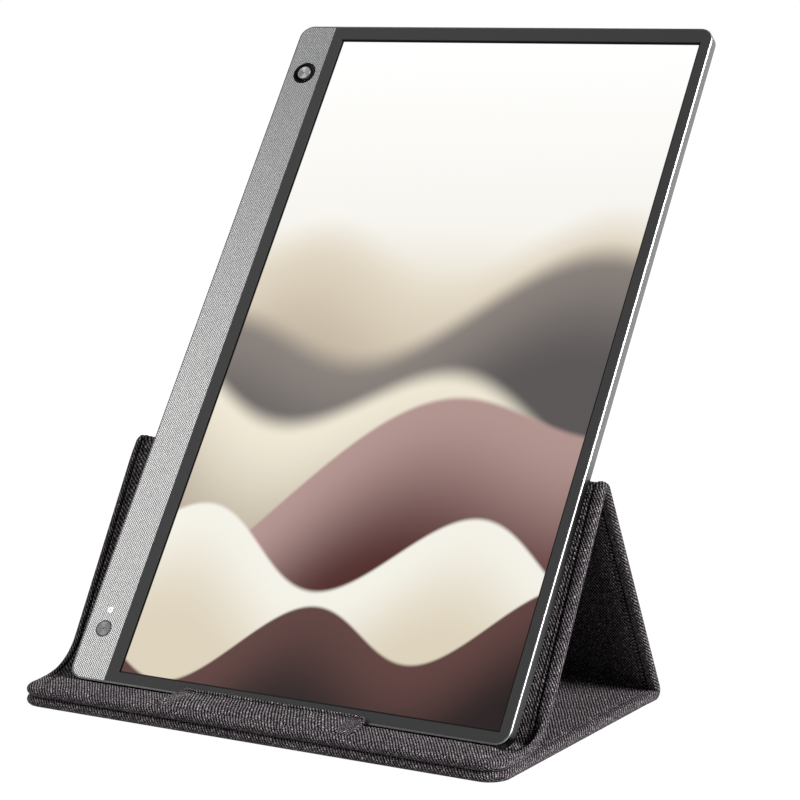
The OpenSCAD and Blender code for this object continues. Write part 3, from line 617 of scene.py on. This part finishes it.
def lipShape(x, place, normal, side, lift, seamAndPaintedShade):  # the raised pad, its seams with their painted shade, and the hollow for the display
    c = lip
    yFoot = place[:, 0] - foot[0]
    front = frontEdge - foot[0]
    padFront = front + c["padFront"]
    ramp = np.clip((yFoot - padFront) / (c["padCrown"] - padFront), 0, 1)
    padEdge = edges["seamAt"] + c["padInset"] + c["padTaper"] * np.maximum(c["joinAt"] - yFoot, 0)
    pad = c["padHeight"] * (1 - (1 - ramp) ** c["padCurve"]) * (1 - smooth(yFoot, *c["padFall"]))
    pad = pad * smooth(side, padEdge, padEdge + c["padRound"])
    alongPad = smooth(-yFoot, *c["seamBack"]) * smooth(yFoot, *(front + k for k in c["seamFront"]))
    padSeam = dip(side, padEdge, c["seamWidth"]) * alongPad
    pressed = overDisplay(x, c["pressLeft"], c["pressRight"])
    joinSeam = dip(yFoot, c["joinAt"], c["joinWidth"]) * (1 - pressed) * smooth(side, *c["joinFrom"])
    lift = lift + pad - c["seamDepth"] * padSeam - joinSeam
    room = (footLimit(yFoot) - place[:, 1]) / np.maximum(normal[:, 1], 0.3)
    room = np.where(yFoot > c["footReach"], 1e2, room)
    soft = c["softness"]
    lowered = -soft * np.logaddexp(-lift / soft, -room / soft)
    return lift + (lowered - lift) * pressed, seamAndPaintedShade + c["paintedSeamShade"] * padSeam + joinSeam


def creasedUnderDisplay(flat):  # the hollow bend closes to a crease where the display folds down on it
    f = folds
    sweep = math.radians(f["creaseSweep"])
    middle = sum(frontBend) / 2
    turned = np.minimum(np.abs(flat[:, 1] - middle) / (frontBend[1] - frontBend[0]) * sweep, sweep / 2)
    depth = (cover["bendRadius"] + cover["halfThick"]) * (1 / np.cos(sweep / 2 - turned) - 1)
    depth = depth + f["creaseDepth"] * dip(flat[:, 1], middle, f["creaseWidth"])
    return depth * overDisplay(flat[:, 0], f["creaseLeft"], f["creaseRight"])


def leftRoll(flat, side):  # how far the left edge is pushed out
    e = edges
    rise = [end + k for end, k in zip(topBend, e["bulgeRise"])]
    fall = [frontBend[1] + k for k in e["bulgeFall"]]
    bulge = band(flat[:, 1], rise, fall) * (1 - smooth(side, *e["bulgeWidth"]))
    return e["leftBulge"] * bulge * (flat[:, 0] < 0)


def limited(outer, inner, s, side, upper):  # the legs' faces stay low enough to fold flat
    f = folds
    highest = cover["edgeRadius"] + f["underDisplay"] + f["beside"] * (1 - smooth(side, *f["besideFrom"]))
    onLegs = (s > rearBend[0] - f["legsFrom"]) & (s < frontBend[0])
    outer = np.where(onLegs, np.minimum(outer, highest), outer)
    inner = np.where(onLegs, np.minimum(inner, cover["edgeRadius"] + f["underPanel"]), inner)
    return np.where(upper, outer, inner)


def makePanels(name, low, high, freeEnds, fineAlong):
    radius = cover["edgeRadius"]
    extra = roundExtra(radius)
    for place, sign in freeEnds:
        fineAlong = fineAlong + freeEndLines(place, sign, radius)
        low = min(low, place + sign * extra)
        high = max(high, place + sign * extra)
    across = cornerToCorner(halfCover, radius, cover["fineTo"])
    along = gridLines(low, high, cover["stepAlong"], fineAlong)
    sheet, x, s, upper = makeSheet(name, across, along)
    flat, weave, edge, height, side = placeOnSheet(x, s, halfCover, freeEnds, cover["cornerRadius"], radius)
    s = flat[:, 1]
    place, normal = line.at(s)
    place = place - normal * creasedUnderDisplay(flat)[:, None]
    lift, seamAndPaintedShade = panelProfile(side, edge, height, s, seamDistance(flat, side, edge, upper))
    folded, shade = clothFolds(flat, weave, side, edge)
    lift, seamAndPaintedShade = lift + folded, seamAndPaintedShade + shade
    # painted shade on the inner faces inside the folded stand
    inside = ~upper & (s > rearBend[1] + folds["insidePast"]) & (s < frontBend[0])
    dark = folds["paintedInsideShade"] * smooth(side, *folds["insideFrom"])
    seamAndPaintedShade = np.where(inside, np.maximum(seamAndPaintedShade, dark), seamAndPaintedShade)
    outer, outerPaintedShade = lipShape(flat[:, 0], place, normal, side, lift, seamAndPaintedShade)
    lift = limited(outer, lift, s, side, upper)
    lift = np.where(edge < 1e-6, 0, lift)
    seamAndPaintedShade = np.where(upper, outerPaintedShade, seamAndPaintedShade)
    out = place + normal * np.where(upper, lift, -lift)[:, None]
    places = np.column_stack([flat[:, 0] - leftRoll(flat, side), out[:, 0], np.maximum(out[:, 1], 0.0)])
    reach = halfCover + extra
    gaps = [reach - np.abs(weave[:, 0])]
    turned = [np.column_stack([np.sign(weave[:, 0]) * (2 * reach - np.abs(weave[:, 0])), weave[:, 1]])]
    for end, sign in freeEnds:
        gaps.append(sign * (end - weave[:, 1]) + extra)
        turned.append(np.column_stack([weave[:, 0], 2 * (end + sign * extra) - weave[:, 1]]))
    layWeave(sheet, weave, upper, gaps, turned)
    closeSheet(sheet, places, np.clip(seamAndPaintedShade, 0, 1))
    print(name, len(sheet.data.polygons), "faces")
    return sheet


cloth = {
    "gap": (0.0012, 0.0011, 0.0012),
    "thread": (0.184, 0.162, 0.176),
    "fleck": (0.42, 0.39, 0.41),
    "fixed": {"Roughness": 0.9, "Sheen Weight": 0.012, "Sheen Roughness": 0.4, "Specular IOR Level": 0.04},
    "pitch": 1.2,               # from one twill rib to the next, in mm
    "slope": (0.81, 0.58),      # direction of the ribs over the cloth
    "drift": (0.11, 0.8),       # how the ribs wander: scale of the noise, and ribs
    "slips": (0.9, 0.8),
    "fuzz": (2.4, 0.5),
    "patches": (0.05, 0.5, 0.75),   # scale, share and base of the shading
    "fuzzShade": (0.7, 0.65),
    # painted shade: how much the grooves, pressed folds and the inside of the stand darken the cloth
    "paintedSeamShade": 0.85,
    "strand": (7.3, 0.95),      # noise along the yarns: from one to the next, and along it
    "beadTurn": 2.1,            # from one yarn's beads to the next one's
    "beadShare": (0.65, 0.35),
    "crestPower": 2.1,
    "toneRise": (0.3, 0.65),
    "toneShare": (0.9, 0.4),
    "fleckRise": (0.55, 0.8),
    "fleckPower": 2.0,
    "bump": 0.0003,
    "bumpStrength": 0.9,
    "bumpFuzz": 0.3,
    "bumpFleck": 0.2,
}


def clothFinish(c):
    material, start, shader = newFinish("coverCloth", c["fixed"])
    u, v = inMillimetres(start.node("UVMap", uv_map="weave"))[:2]
    flat = start.node("CombineXYZ", {0: u, 1: v})
    drift, slips, fuzz = (cloud(flat, c[key][0]) for key in ("drift", "slips", "fuzz"))
    patches = cloud(flat, c["patches"][0], 1.0)
    seamAndPaintedShade = start.node("Attribute", output="Fac", attribute_name="seamAndPaintedShade")
    turn = 2 * math.pi
    steep, shallow = c["slope"]
    rib = (u * steep - v * shallow) / c["pitch"]
    rib = rib + drift * c["drift"][1] + slips * c["slips"][1] + fuzz * c["fuzz"][1]
    along = u * shallow + v * steep
    crest = wave(rib * turn)
    number = (rib + 0.25).floor()
    strand = start.node("CombineXYZ", {0: number * c["strand"][0], 1: along * c["strand"][1]})
    tone = cloud(strand, 1.0, 1.0)
    beads = wave(along * turn + number * c["beadTurn"])
    yarn = crest.power(c["crestPower"]) * (beads * c["beadShare"][0] + c["beadShare"][1])
    yarn = yarn * (tone.rise(*c["toneRise"]) * c["toneShare"][0] + c["toneShare"][1])
    flecks = tone.rise(*c["fleckRise"]) * crest.power(c["fleckPower"])
    flecks = flecks * (beads * 0.5 + 0.5)
    colour = mixed(flecks, mixed(yarn, c["gap"], c["thread"]), c["fleck"])
    shade = patches * c["patches"][1] + c["patches"][2]
    # painted shade from the point attribute darkens the grooves, folds and the inside of the stand
    shade = shade * (fuzz * c["fuzzShade"][0] + c["fuzzShade"][1]) * (1 - seamAndPaintedShade * c["paintedSeamShade"])
    grey = start.node("CombineColor", {0: shade, 1: shade, 2: shade})
    colour = mixed(1.0, colour, grey, blend_type="MULTIPLY")
    height = yarn + fuzz * c["bumpFuzz"] + flecks * c["bumpFleck"]
    paint(shader, colour=colour, normal=bumped(height, c["bump"], c["bumpStrength"]))
    return material


clothMaterial = clothFinish(cloth)


def blendCrease(piece, centre, angle, reach):  # bakes the piece's transform; the span of reach on both sides of the crease is worked out but not used
    along = np.array([math.cos(angle), math.sin(angle)]) * reach
    start, end = (centre - along) * mm, (centre + along) * mm
    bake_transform(piece)


def makeCover(c):
    past, step = c["bendLines"]
    footFrom, footTo, footStep = c["footLines"]
    hollow = (*frontBend, c["hollowStep"])
    underFoot = (line.end - footFrom, line.end - footTo, footStep)
    rearLines, topLines = ((bend[0] - past, bend[1] + past, step) for bend in (rearBend, topBend))
    back = makePanels("coverBack", 0.0, rearMiddle, [(0.0, -1)], [rearLines])
    top = makePanels("coverTop", rearMiddle, frontMiddle, [], [topLines])
    front = makePanels("coverFront", frontMiddle, line.end, [(line.end, 1)], [hollow, underFoot])
    for piece in (back, top, front):
        piece.data.materials.append(clothMaterial)
    creases = [
        (back, "base", "rear_leg", rearCrease, "rear"),
        (top, "rear_leg", "backrest", apexCrease, "apex"),
        (front, "backrest", "lip", frontCrease, "front"),
    ]
    for piece, a, b, centre, key in creases:
        blendCrease(piece, centre, math.radians(c["blendAngle"][key]), c["blendReach"][key])
    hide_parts("base_cloth", "base_lining", "rear_leg_lining")
    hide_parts("rear_leg_cloth", "apex_strip", "backrest_lining")
    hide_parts("backrest_cloth", "backrest_board", "lip_cloth", "lip_lining")


makeCover(cover)
print("cover made")


tab = {
    "halfWidth": 47.4,          # at the tip
    "rootHalfWidth": 50.9,
    "middle": (0.6, 2.9),       # at the root and at the tip
    "thick": 1.5,
    "root": (-21.3, 9.3),       # sewn into the lip: from the display's foot, and height
    "crease": (-17.3, 11.25),
    "slope": 11.0,
    "flatLength": 8.4,
    "bend": 2.6,
    "upright": 1.0,
    "corner": 2.4,
    "fineTo": 4.2,
    "hem": (1.7, 0.3, 0.25),    # from the edge, width and depth
    "hemFrom": 3,               # past the crease
    "fold": (0.4, 0.45, 0.15),  # before the bend, width and depth
    "foldFrom": (2, 5),
    # painted shade along the fold
    "paintedFoldShade": 0.3,
    "waviness": 0.06,
    "waveSize": 9,
    "wavesFrom": (0.3, 1.2),
    "blendReach": 1.5,
    "blendAngle": 15,
    "fill": 0.4,
}


def tabSide(c):  # the tab seen from the side, from its sewn root to its tip
    made = SideLine()
    slope = math.radians(c["slope"])
    ahead = np.array([math.cos(slope), math.sin(slope)])
    root, crease = (np.array([foot[0] + c[key][0], c[key][1]]) for key in ("root", "crease"))
    knee = crease + ahead * c["flatLength"]
    made.straight(root, crease)
    made.straight(crease, knee)
    bendCentre = knee + np.array([-ahead[1], ahead[0]]) * c["bend"]
    made.bend(bendCentre, c["bend"], slope - math.pi / 2, lean - slope)
    tip = made.at(np.array([made.end - 1e-6]))[0][0]
    made.straight(tip, tip + np.array([math.cos(lean), math.sin(lean)]) * c["upright"])
    return made


def makeTab(c):
    tabLine = tabSide(c)
    creaseAlong, kneeAlong = tabLine.runs[1][1], tabLine.runs[2][1]
    radius = c["thick"] / 2
    extra = roundExtra(radius)
    across = cornerToCorner(c["halfWidth"], radius, c["fineTo"])
    along = gridLines(-extra, tabLine.end + extra, cover["fineStep"], [])
    sheet, x, s, upper = makeSheet("stopTab", across, along)
    ends = [(0.0, -1), (tabLine.end, 1)]
    flat, weave, edge, height, side = placeOnSheet(x, s, c["halfWidth"], ends, c["corner"], radius)
    s = flat[:, 1]
    place, normal = tabLine.at(s)
    hemAt, hemWidth, hemDepth = c["hem"]
    foldAt, foldWidth, foldDepth = c["fold"]
    hem = dip(np.minimum(side, tabLine.end - s), hemAt, hemWidth)
    hem = hem * smooth(s, creaseAlong, creaseAlong + c["hemFrom"])
    foldLine = dip(s, kneeAlong - foldAt, foldWidth) * smooth(side, *c["foldFrom"])
    waves = c["waviness"] * ripple(weave, c["waveSize"], 2.5) * smooth(edge, *c["wavesFrom"])
    lift = height + waves - hemDepth * hem - foldDepth * foldLine
    lift = np.where(edge < 1e-6, 0, lift)
    out = place + normal * np.where(upper, lift, -lift)[:, None]
    t = np.clip(s / tabLine.end, 0, 1)
    widen = 1 + (c["rootHalfWidth"] / c["halfWidth"] - 1) * (1 - t)
    middle = c["middle"][0] + (c["middle"][1] - c["middle"][0]) * t
    places = np.column_stack([flat[:, 0] * widen + middle, out])
    layWeave(sheet, weave, upper, [side], [weave])
    # painted shade in the hem and the fold line
    closeSheet(sheet, places, np.clip(hem + c["paintedFoldShade"] * foldLine, 0, 1))
    sheet.data.materials.append(clothMaterial)
    blendCrease(sheet, creaseAt("tab_crease"), math.radians(c["blendAngle"]), c["blendReach"])
    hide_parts("tab_cloth")


makeTab(tab)
print("stop tab made")


picture = {
    "left": -86.5,          # lit area in the display's own place, in mm
    "bottom": 6.75,
    "wide": 193.6,
    "high": 344.2,
    "edge": 0.2,
    "unlit": (0.004, 0.004, 0.004),
    "fixed": {"Roughness": 0.3, "Specular IOR Level": 0.03, "Emission Strength": 1.0,
              "Base Color": (0.002, 0.002, 0.002)},
    "sky": [(0.0, (0.80, 0.72, 0.58)), (1.0, (1.0, 1.0, 0.995)), (0.42, (0.66, 0.55, 0.42)),
            (0.58, (0.80, 0.73, 0.61)), (0.70, (0.92, 0.90, 0.85))],
    # height at the left, slope, height and length of the wave, phase, softness, ridge and low colour, depth
    "layers": [
        (212, 0.10, 16, 150, 0.4, 16, (0.74, 0.66, 0.53), (0.52, 0.44, 0.34), 70),
        (168, 0.24, 20, 190, 2.2, 9, (0.24, 0.21, 0.19), (0.10, 0.09, 0.09), 60),
        (150, -0.04, 18, 170, 3.3, 7, (0.86, 0.80, 0.66), (0.50, 0.43, 0.34), 70),
        (62, 0.50, 30, 230, 4.9, 2, (0.44, 0.29, 0.27), (0.075, 0.018, 0.016), 85),
        (66, 0.05, 20, 140, 0.9, 1.6, (0.90, 0.88, 0.80), (0.72, 0.64, 0.50), 60),
        (10, 0.20, 16, 120, 3.4, 1.2, (0.11, 0.05, 0.045), (0.02, 0.012, 0.012), 50),
    ],
}


def screenFinish(c):
    material, start, shader = newFinish("screenPicture", c["fixed"])
    across, up = displayPlace(start)[1:3]
    x, y = across - c["left"], up - c["bottom"]
    colour = start.node("ValToRGB", {0: y / c["high"]}, stops=c["sky"])
    for high, slope, swing, length, phase, soft, ridge, low, depth in c["layers"]:
        crest = (x * (2 * math.pi / length) + phase).sine() * swing + x * slope + high
        below = crest - y
        body = mixed(below.rise(0, depth), ridge, low)
        colour = mixed(below.rise(-soft, soft), colour, body)
    inside = x.rise(0, c["edge"]) * (c["wide"] - x).rise(0, c["edge"])
    inside = inside * y.rise(0, c["edge"]) * (c["high"] - y).rise(0, c["edge"])
    paint(shader, glow=mixed(inside, c["unlit"], colour))
    return material


strip = {
    "pitch": 0.915,         # between the diagonal lines of raised dots
    "light": (0.44, 0.44, 0.435),
    "gap": (0.008, 0.008, 0.0085),
    "dotRise": (-0.9, 1.2),
    "bump": 0.0001,
    "bumpStrength": 0.6,
    "dusty": (0.2, 0.2, 0.2),
    "grain": (900.0, 0.12),     # scale of the noise, and share
    "patches": (12.0, 0.08),
    "dim": 0.6,             # painted shade: how much darker it is at the top
    "dimRise": (120, 360),
    "dimTo": (0.06, 0.0615, 0.063),
    "fixed": {"Metallic": 0.45, "Roughness": 0.4},
}


def stripFinish(c):
    material, start, shader = newFinish("stripMetal", c["fixed"])
    place, across, up = displayPlace(start)[:3]
    turn = 2 * math.pi * math.sqrt(0.5) / c["pitch"]
    dots = ((across + up) * turn + math.pi / 2).sine() + ((across - up) * turn + math.pi / 2).sine()
    dots = dots.rise(*c["dotRise"])
    dust = cloud(place, c["grain"][0]) * c["grain"][1] + cloud(place, c["patches"][0], 1.0) * c["patches"][1]
    colour = mixed(dust, mixed(dots, c["gap"], c["light"]), c["dusty"])
    # painted shade, darker towards the top of the display
    colour = mixed(up.rise(*c["dimRise"]) * c["dim"], colour, c["dimTo"])
    paint(shader, colour=colour, normal=bumped(dots, c["bump"], c["bumpStrength"]))
    return material


rim = {
    "edge": (0.012, 0.012, 0.013),      # dark line round the front
    "edgeAt": (-0.05, -0.02),           # how far back it goes, in mm
    # painted highlight: the polished bevel is lighter and less metallic than the side
    "bevel": (0.27, 0.27, 0.272),
    "bevelAt": (-0.25, -0.19),          # how far back the polished bevel goes
    "side": (0.22, 0.222, 0.227),
    "shaded": (0.035, 0.035, 0.036),    # painted shade, lower down beside the dark cover
    "shadedTo": (112, 142),             # up the display
    "worn": (0.3, 0.3, 0.3),
    "grain": (700.0, 0.12),
    "bump": 0.000004,
    "bumpStrength": 0.3,
    "rough": (0.2, 0.16),               # of the side, and what the bevel adds
    "bevelMetal": 0.45,                 # what the bevel takes from the metallic look
}


def rimFinish(c):
    material, start, shader = newFinish("polishedRim", {})
    place, _, up, out = displayPlace(start)
    grain = cloud(place, c["grain"][0])
    bevel = out.rise(*c["bevelAt"])
    side = mixed(up.rise(*c["shadedTo"]), c["shaded"], c["side"])
    # the bevel's lighter colour is a painted highlight
    colour = mixed(out.rise(*c["edgeAt"]), mixed(bevel, side, c["bevel"]), c["edge"])
    colour = mixed(grain * c["grain"][1], colour, c["worn"])
    paint(shader, colour=colour, rough=bevel * c["rough"][1] + c["rough"][0],
          metal=1 - bevel * c["bevelMetal"], normal=bumped(grain, c["bump"], c["bumpStrength"]))
    return material


metal = {
    "grain": 600.0,
    "grainRise": (0.35, 0.65),
    "grainShare": 0.5,
    "patches": 14.0,
    "patchShare": 0.4,
    "darker": 0.82,
    "roughness": 0.12,          # how far it varies
    "bump": 0.00002,
    "bumpStrength": 0.5,
    "sideFrom": (112.0, 112.6), # painted shade on the right side, beside the dark cover
}

spun = {
    "rings": 14.0,              # radians per mm
    "ringTone": 0.8,
    "fanTurn": 2.2,
    "fanPower": 3.0,
    "fanTone": 2.6,
    "fan": 0.8,                 # strength of the two painted highlights, as bright sectors
    "groove": (0.004, 0.004, 0.004),    # painted shade of the gap round a button
    "grooveRise": (-0.12, 0.05),
    "centre": (0.01, 0.01, 0.01),
    "centreRise": (0.3, 0.5),
    "bumpGrain": 0.3,
}


def spunTone(tone, dx, dy, colour, dark, fan):  # turned rings with two painted highlights as bright sectors, and painted shade in a button's groove
    distance = (dx * dx + dy * dy).root()
    rings = wave(distance * spun["rings"])
    tone = mixed(rings, times(colour, spun["ringTone"]), tone)
    # painted highlights: two bright sectors
    bright = wave(dy.maths("ARCTAN2", dx) * 2 - spun["fanTurn"]).power(spun["fanPower"]) * fan
    tone = mixed(bright, tone, times(colour, spun["fanTone"]))
    if dark:
        # painted shade in the gap round the button
        low, high = spun["grooveRise"]
        tone = mixed(distance.rise(dark + low, dark + high), tone, spun["groove"])
        tone = mixed(distance.rise(*spun["centreRise"]), spun["centre"], tone)
    return tone, rings


def metalFinish(name, colour, rough, metallic, depth=metal["bump"], centre=None, dark=None, fan=spun["fan"],
                shaded=None):
    material, start, shader = newFinish(name, {"Metallic": metallic})
    place, across, up = displayPlace(start)[:3]
    grain = cloud(place, metal["grain"], 3.0)
    patches = cloud(place, metal["patches"])
    worn = grain.rise(*metal["grainRise"]) * metal["grainShare"] + patches * metal["patchShare"]
    tone = mixed(worn, times(colour, metal["darker"]), colour)
    height = grain
    if centre:
        tone, rings = spunTone(tone, across - centre[0], up - centre[1], colour, dark, fan)
        height = rings + grain * spun["bumpGrain"]
    # painted shade lower down on the right side
    if shaded:
        low = (1 - up.rise(*rim["shadedTo"])) * across.rise(*metal["sideFrom"])
        tone = mixed(low, tone, shaded)
    varied = patches * metal["roughness"] + (rough - metal["roughness"] / 2)
    paint(shader, colour=tone, rough=varied, normal=bumped(height, depth, metal["bumpStrength"]))
    return material


plastic = {
    "patches": 20.0,
    "darker": 0.85,
    "lighter": 1.12,
    "roughness": 0.1,
    "bump": 0.00003,
    "bumpStrength": 0.4,
    "specular": 0.4,
    "grain": 1500.0,
}


def plasticFinish(name, colour, rough, grainScale=plastic["grain"], depth=plastic["bump"],
                  specular=plastic["specular"]):
    material, start, shader = newFinish(name, {"Specular IOR Level": specular})
    place = objectPlace(start)
    grain = cloud(place, grainScale)
    patches = cloud(place, plastic["patches"])
    worn = grain * 0.5 + patches * 0.5
    tone = mixed(worn, times(colour, plastic["darker"]), times(colour, plastic["lighter"]))
    varied = patches * plastic["roughness"] + (rough - plastic["roughness"] / 2)
    paint(shader, colour=tone, rough=varied, normal=bumped(grain, depth, plastic["bumpStrength"]))
    return material


controls = {
    "joystick": (-102.6, 331.2),    # across and up the display
    "power": (-103.3, 25.4),
    "light": (-103.3, 34.8),
    "lightRing": (0.45, 0.9),
    "lightCentre": (0.30, 0.30, 0.30),
    "lightEdge": (0.52, 0.52, 0.52),
    "lightFixed": {"Roughness": 0.4, "Emission Strength": 0.05},
}


def lightFinish(c):
    material, start, shader = newFinish("statusLight", c["lightFixed"])
    across, up = displayPlace(start)[1:3]
    dx, dy = across - c["light"][0], up - c["light"][1]
    ring = (dx * dx + dy * dy).root().rise(*c["lightRing"])
    colour = mixed(ring, c["lightCentre"], c["lightEdge"])
    paint(shader, colour=colour, glow=colour)
    return material


finishes = {
    "screen_glass": screenFinish(picture),
    "patterned_metal": stripFinish(strip),
    "housing_metal": metalFinish("housingMetal", (0.22, 0.223, 0.23), 0.24, 1.0, depth=0.000005,
                                 shaded=rim["shaded"]),
    "polished_metal": rimFinish(rim),
    "spun_metal": metalFinish("spunCap", (0.09, 0.091, 0.093), 0.4, 0.6, centre=controls["joystick"]),
    "button_grey": metalFinish("buttonGrey", (0.052, 0.052, 0.053), 0.4, 0.5, centre=controls["power"],
                               dark=3.4, fan=0.4),
    "tray_metal": metalFinish("trayMetal", (0.55, 0.56, 0.57), 0.45, 0.9),
    "plated_steel": metalFinish("platedSteel", (0.60, 0.61, 0.62), 0.3, 0.95),
    "screw_steel": metalFinish("screwSteel", (0.25, 0.255, 0.26), 0.4, 0.9),
    "magnet": metalFinish("magnetNickel", (0.62, 0.62, 0.63), 0.2, 1.0),
    "dark_plastic": plasticFinish("bezelDark", (0.017, 0.017, 0.0175), 0.6, specular=0.12),
    "black_gloss": plasticFinish("ringBlack", (0.0015, 0.0015, 0.0018), 0.45, depth=0.000002, specular=0.03),
    "light_pipe_plastic": lightFinish(controls),
    "switch_plastic": plasticFinish("switchPlastic", (0.02, 0.02, 0.022), 0.5),
    "plunger_plastic": plasticFinish("plungerPlastic", (0.5, 0.5, 0.51), 0.45),
    "clear_plastic": plasticFinish("lightGuide", (0.85, 0.88, 0.9), 0.3),
    "led_strip": plasticFinish("ledStrip", (0.9, 0.88, 0.75), 0.4),
    "foam_tape": plasticFinish("foamTape", (0.012, 0.012, 0.013), 0.9, grainScale=700.0),
    "circuit_board": plasticFinish("circuitBoard", (0.015, 0.08, 0.045), 0.4, grainScale=400.0),
    "amber_film": plasticFinish("amberFilm", (0.45, 0.18, 0.025), 0.25),
    "white_film": plasticFinish("whiteFilm", (0.66, 0.63, 0.55), 0.5),
    "chip_plastic": plasticFinish("chipPlastic", (0.012, 0.012, 0.013), 0.6),
    "grey_board": plasticFinish("greyBoard", (0.17, 0.155, 0.125), 0.95, grainScale=900.0),
    "tab_plastic": plasticFinish("tabPlastic", (0.28, 0.27, 0.25), 0.6),
    "cover_cloth": plasticFinish("plainCloth", (0.03, 0.028, 0.03), 0.95),
    "cover_lining": plasticFinish("plainLining", (0.03, 0.028, 0.03), 0.95),
}

for name, node in frame["nodes"].items():
    if not node.material_slots:
        node.data.materials.append(None)
    for holder in node.material_slots:
        holder.link = "OBJECT"
        holder.material = finishes[slotOf[name]]
print("finishes set")


studio = {
    "floor": (0.04, 0.04, 0.04),
    "floorDarker": 0.985,
    "floorPatches": 3.0,
    "floorSize": 400,
    "floorFixed": {"Roughness": 0.9, "Specular IOR Level": 0.1, "Emission Color": (1, 1, 1),
                   "Emission Strength": 0.965},     # the floor is a lit table
    "above": 0.26,              # light from the whole room
    "horizon": 1.0,
    "horizonTo": (0.03, 0.22),
    "lamps": {                  # strength, size in degrees, direction it comes from
        "keyLight": (9.5, 30.0, (0.80, 0.0, 0.50)),
        "fillLight": (2.6, 40.0, (-0.75, -0.35, 0.55)),
    },
}


def makeFloor(c):
    bpy.ops.object.select_all(action="DESELECT")
    bpy.ops.mesh.primitive_plane_add(size=c["floorSize"], location=(0, 0, -0.0001))
    floor = bpy.context.object
    floor.name = floor.data.name = "paleFloor"
    material, start, shader = newFinish("floorPaint", c["floorFixed"])
    patches = cloud(objectPlace(start), c["floorPatches"])
    paint(shader, colour=mixed(patches, times(c["floor"], c["floorDarker"]), c["floor"]))
    floor.data.materials.append(material)


def makeLight(c):
    world = bpy.data.worlds.new("studioSky")
    world.use_nodes = True
    room = Wire(world.node_tree)
    height = room.node("SeparateXYZ", {0: room.node("TexCoord", output="Generated")}, output=2)
    strength = (1 - height.rise(*c["horizonTo"])) * (c["horizon"] - c["above"]) + c["above"]
    background = world.node_tree.nodes["Background"]
    background.inputs["Color"].default_value = (1, 1, 1, 1)
    world.node_tree.links.new(strength.socket, background.inputs["Strength"])
    bpy.context.scene.world = world
    for name, (power, size, comesFrom) in c["lamps"].items():
        bpy.ops.object.light_add(type="SUN", location=(0, 0, 2))
        lamp = bpy.context.object
        lamp.name = lamp.data.name = name
        lamp.data.energy = power
        lamp.data.angle = math.radians(size)
        lamp.rotation_euler = (-Vector(comesFrom)).to_track_quat("-Z", "Y").to_euler()
    bpy.context.scene.view_settings.view_transform = "Standard"


makeFloor(studio)
makeLight(studio)
print("studio lit")
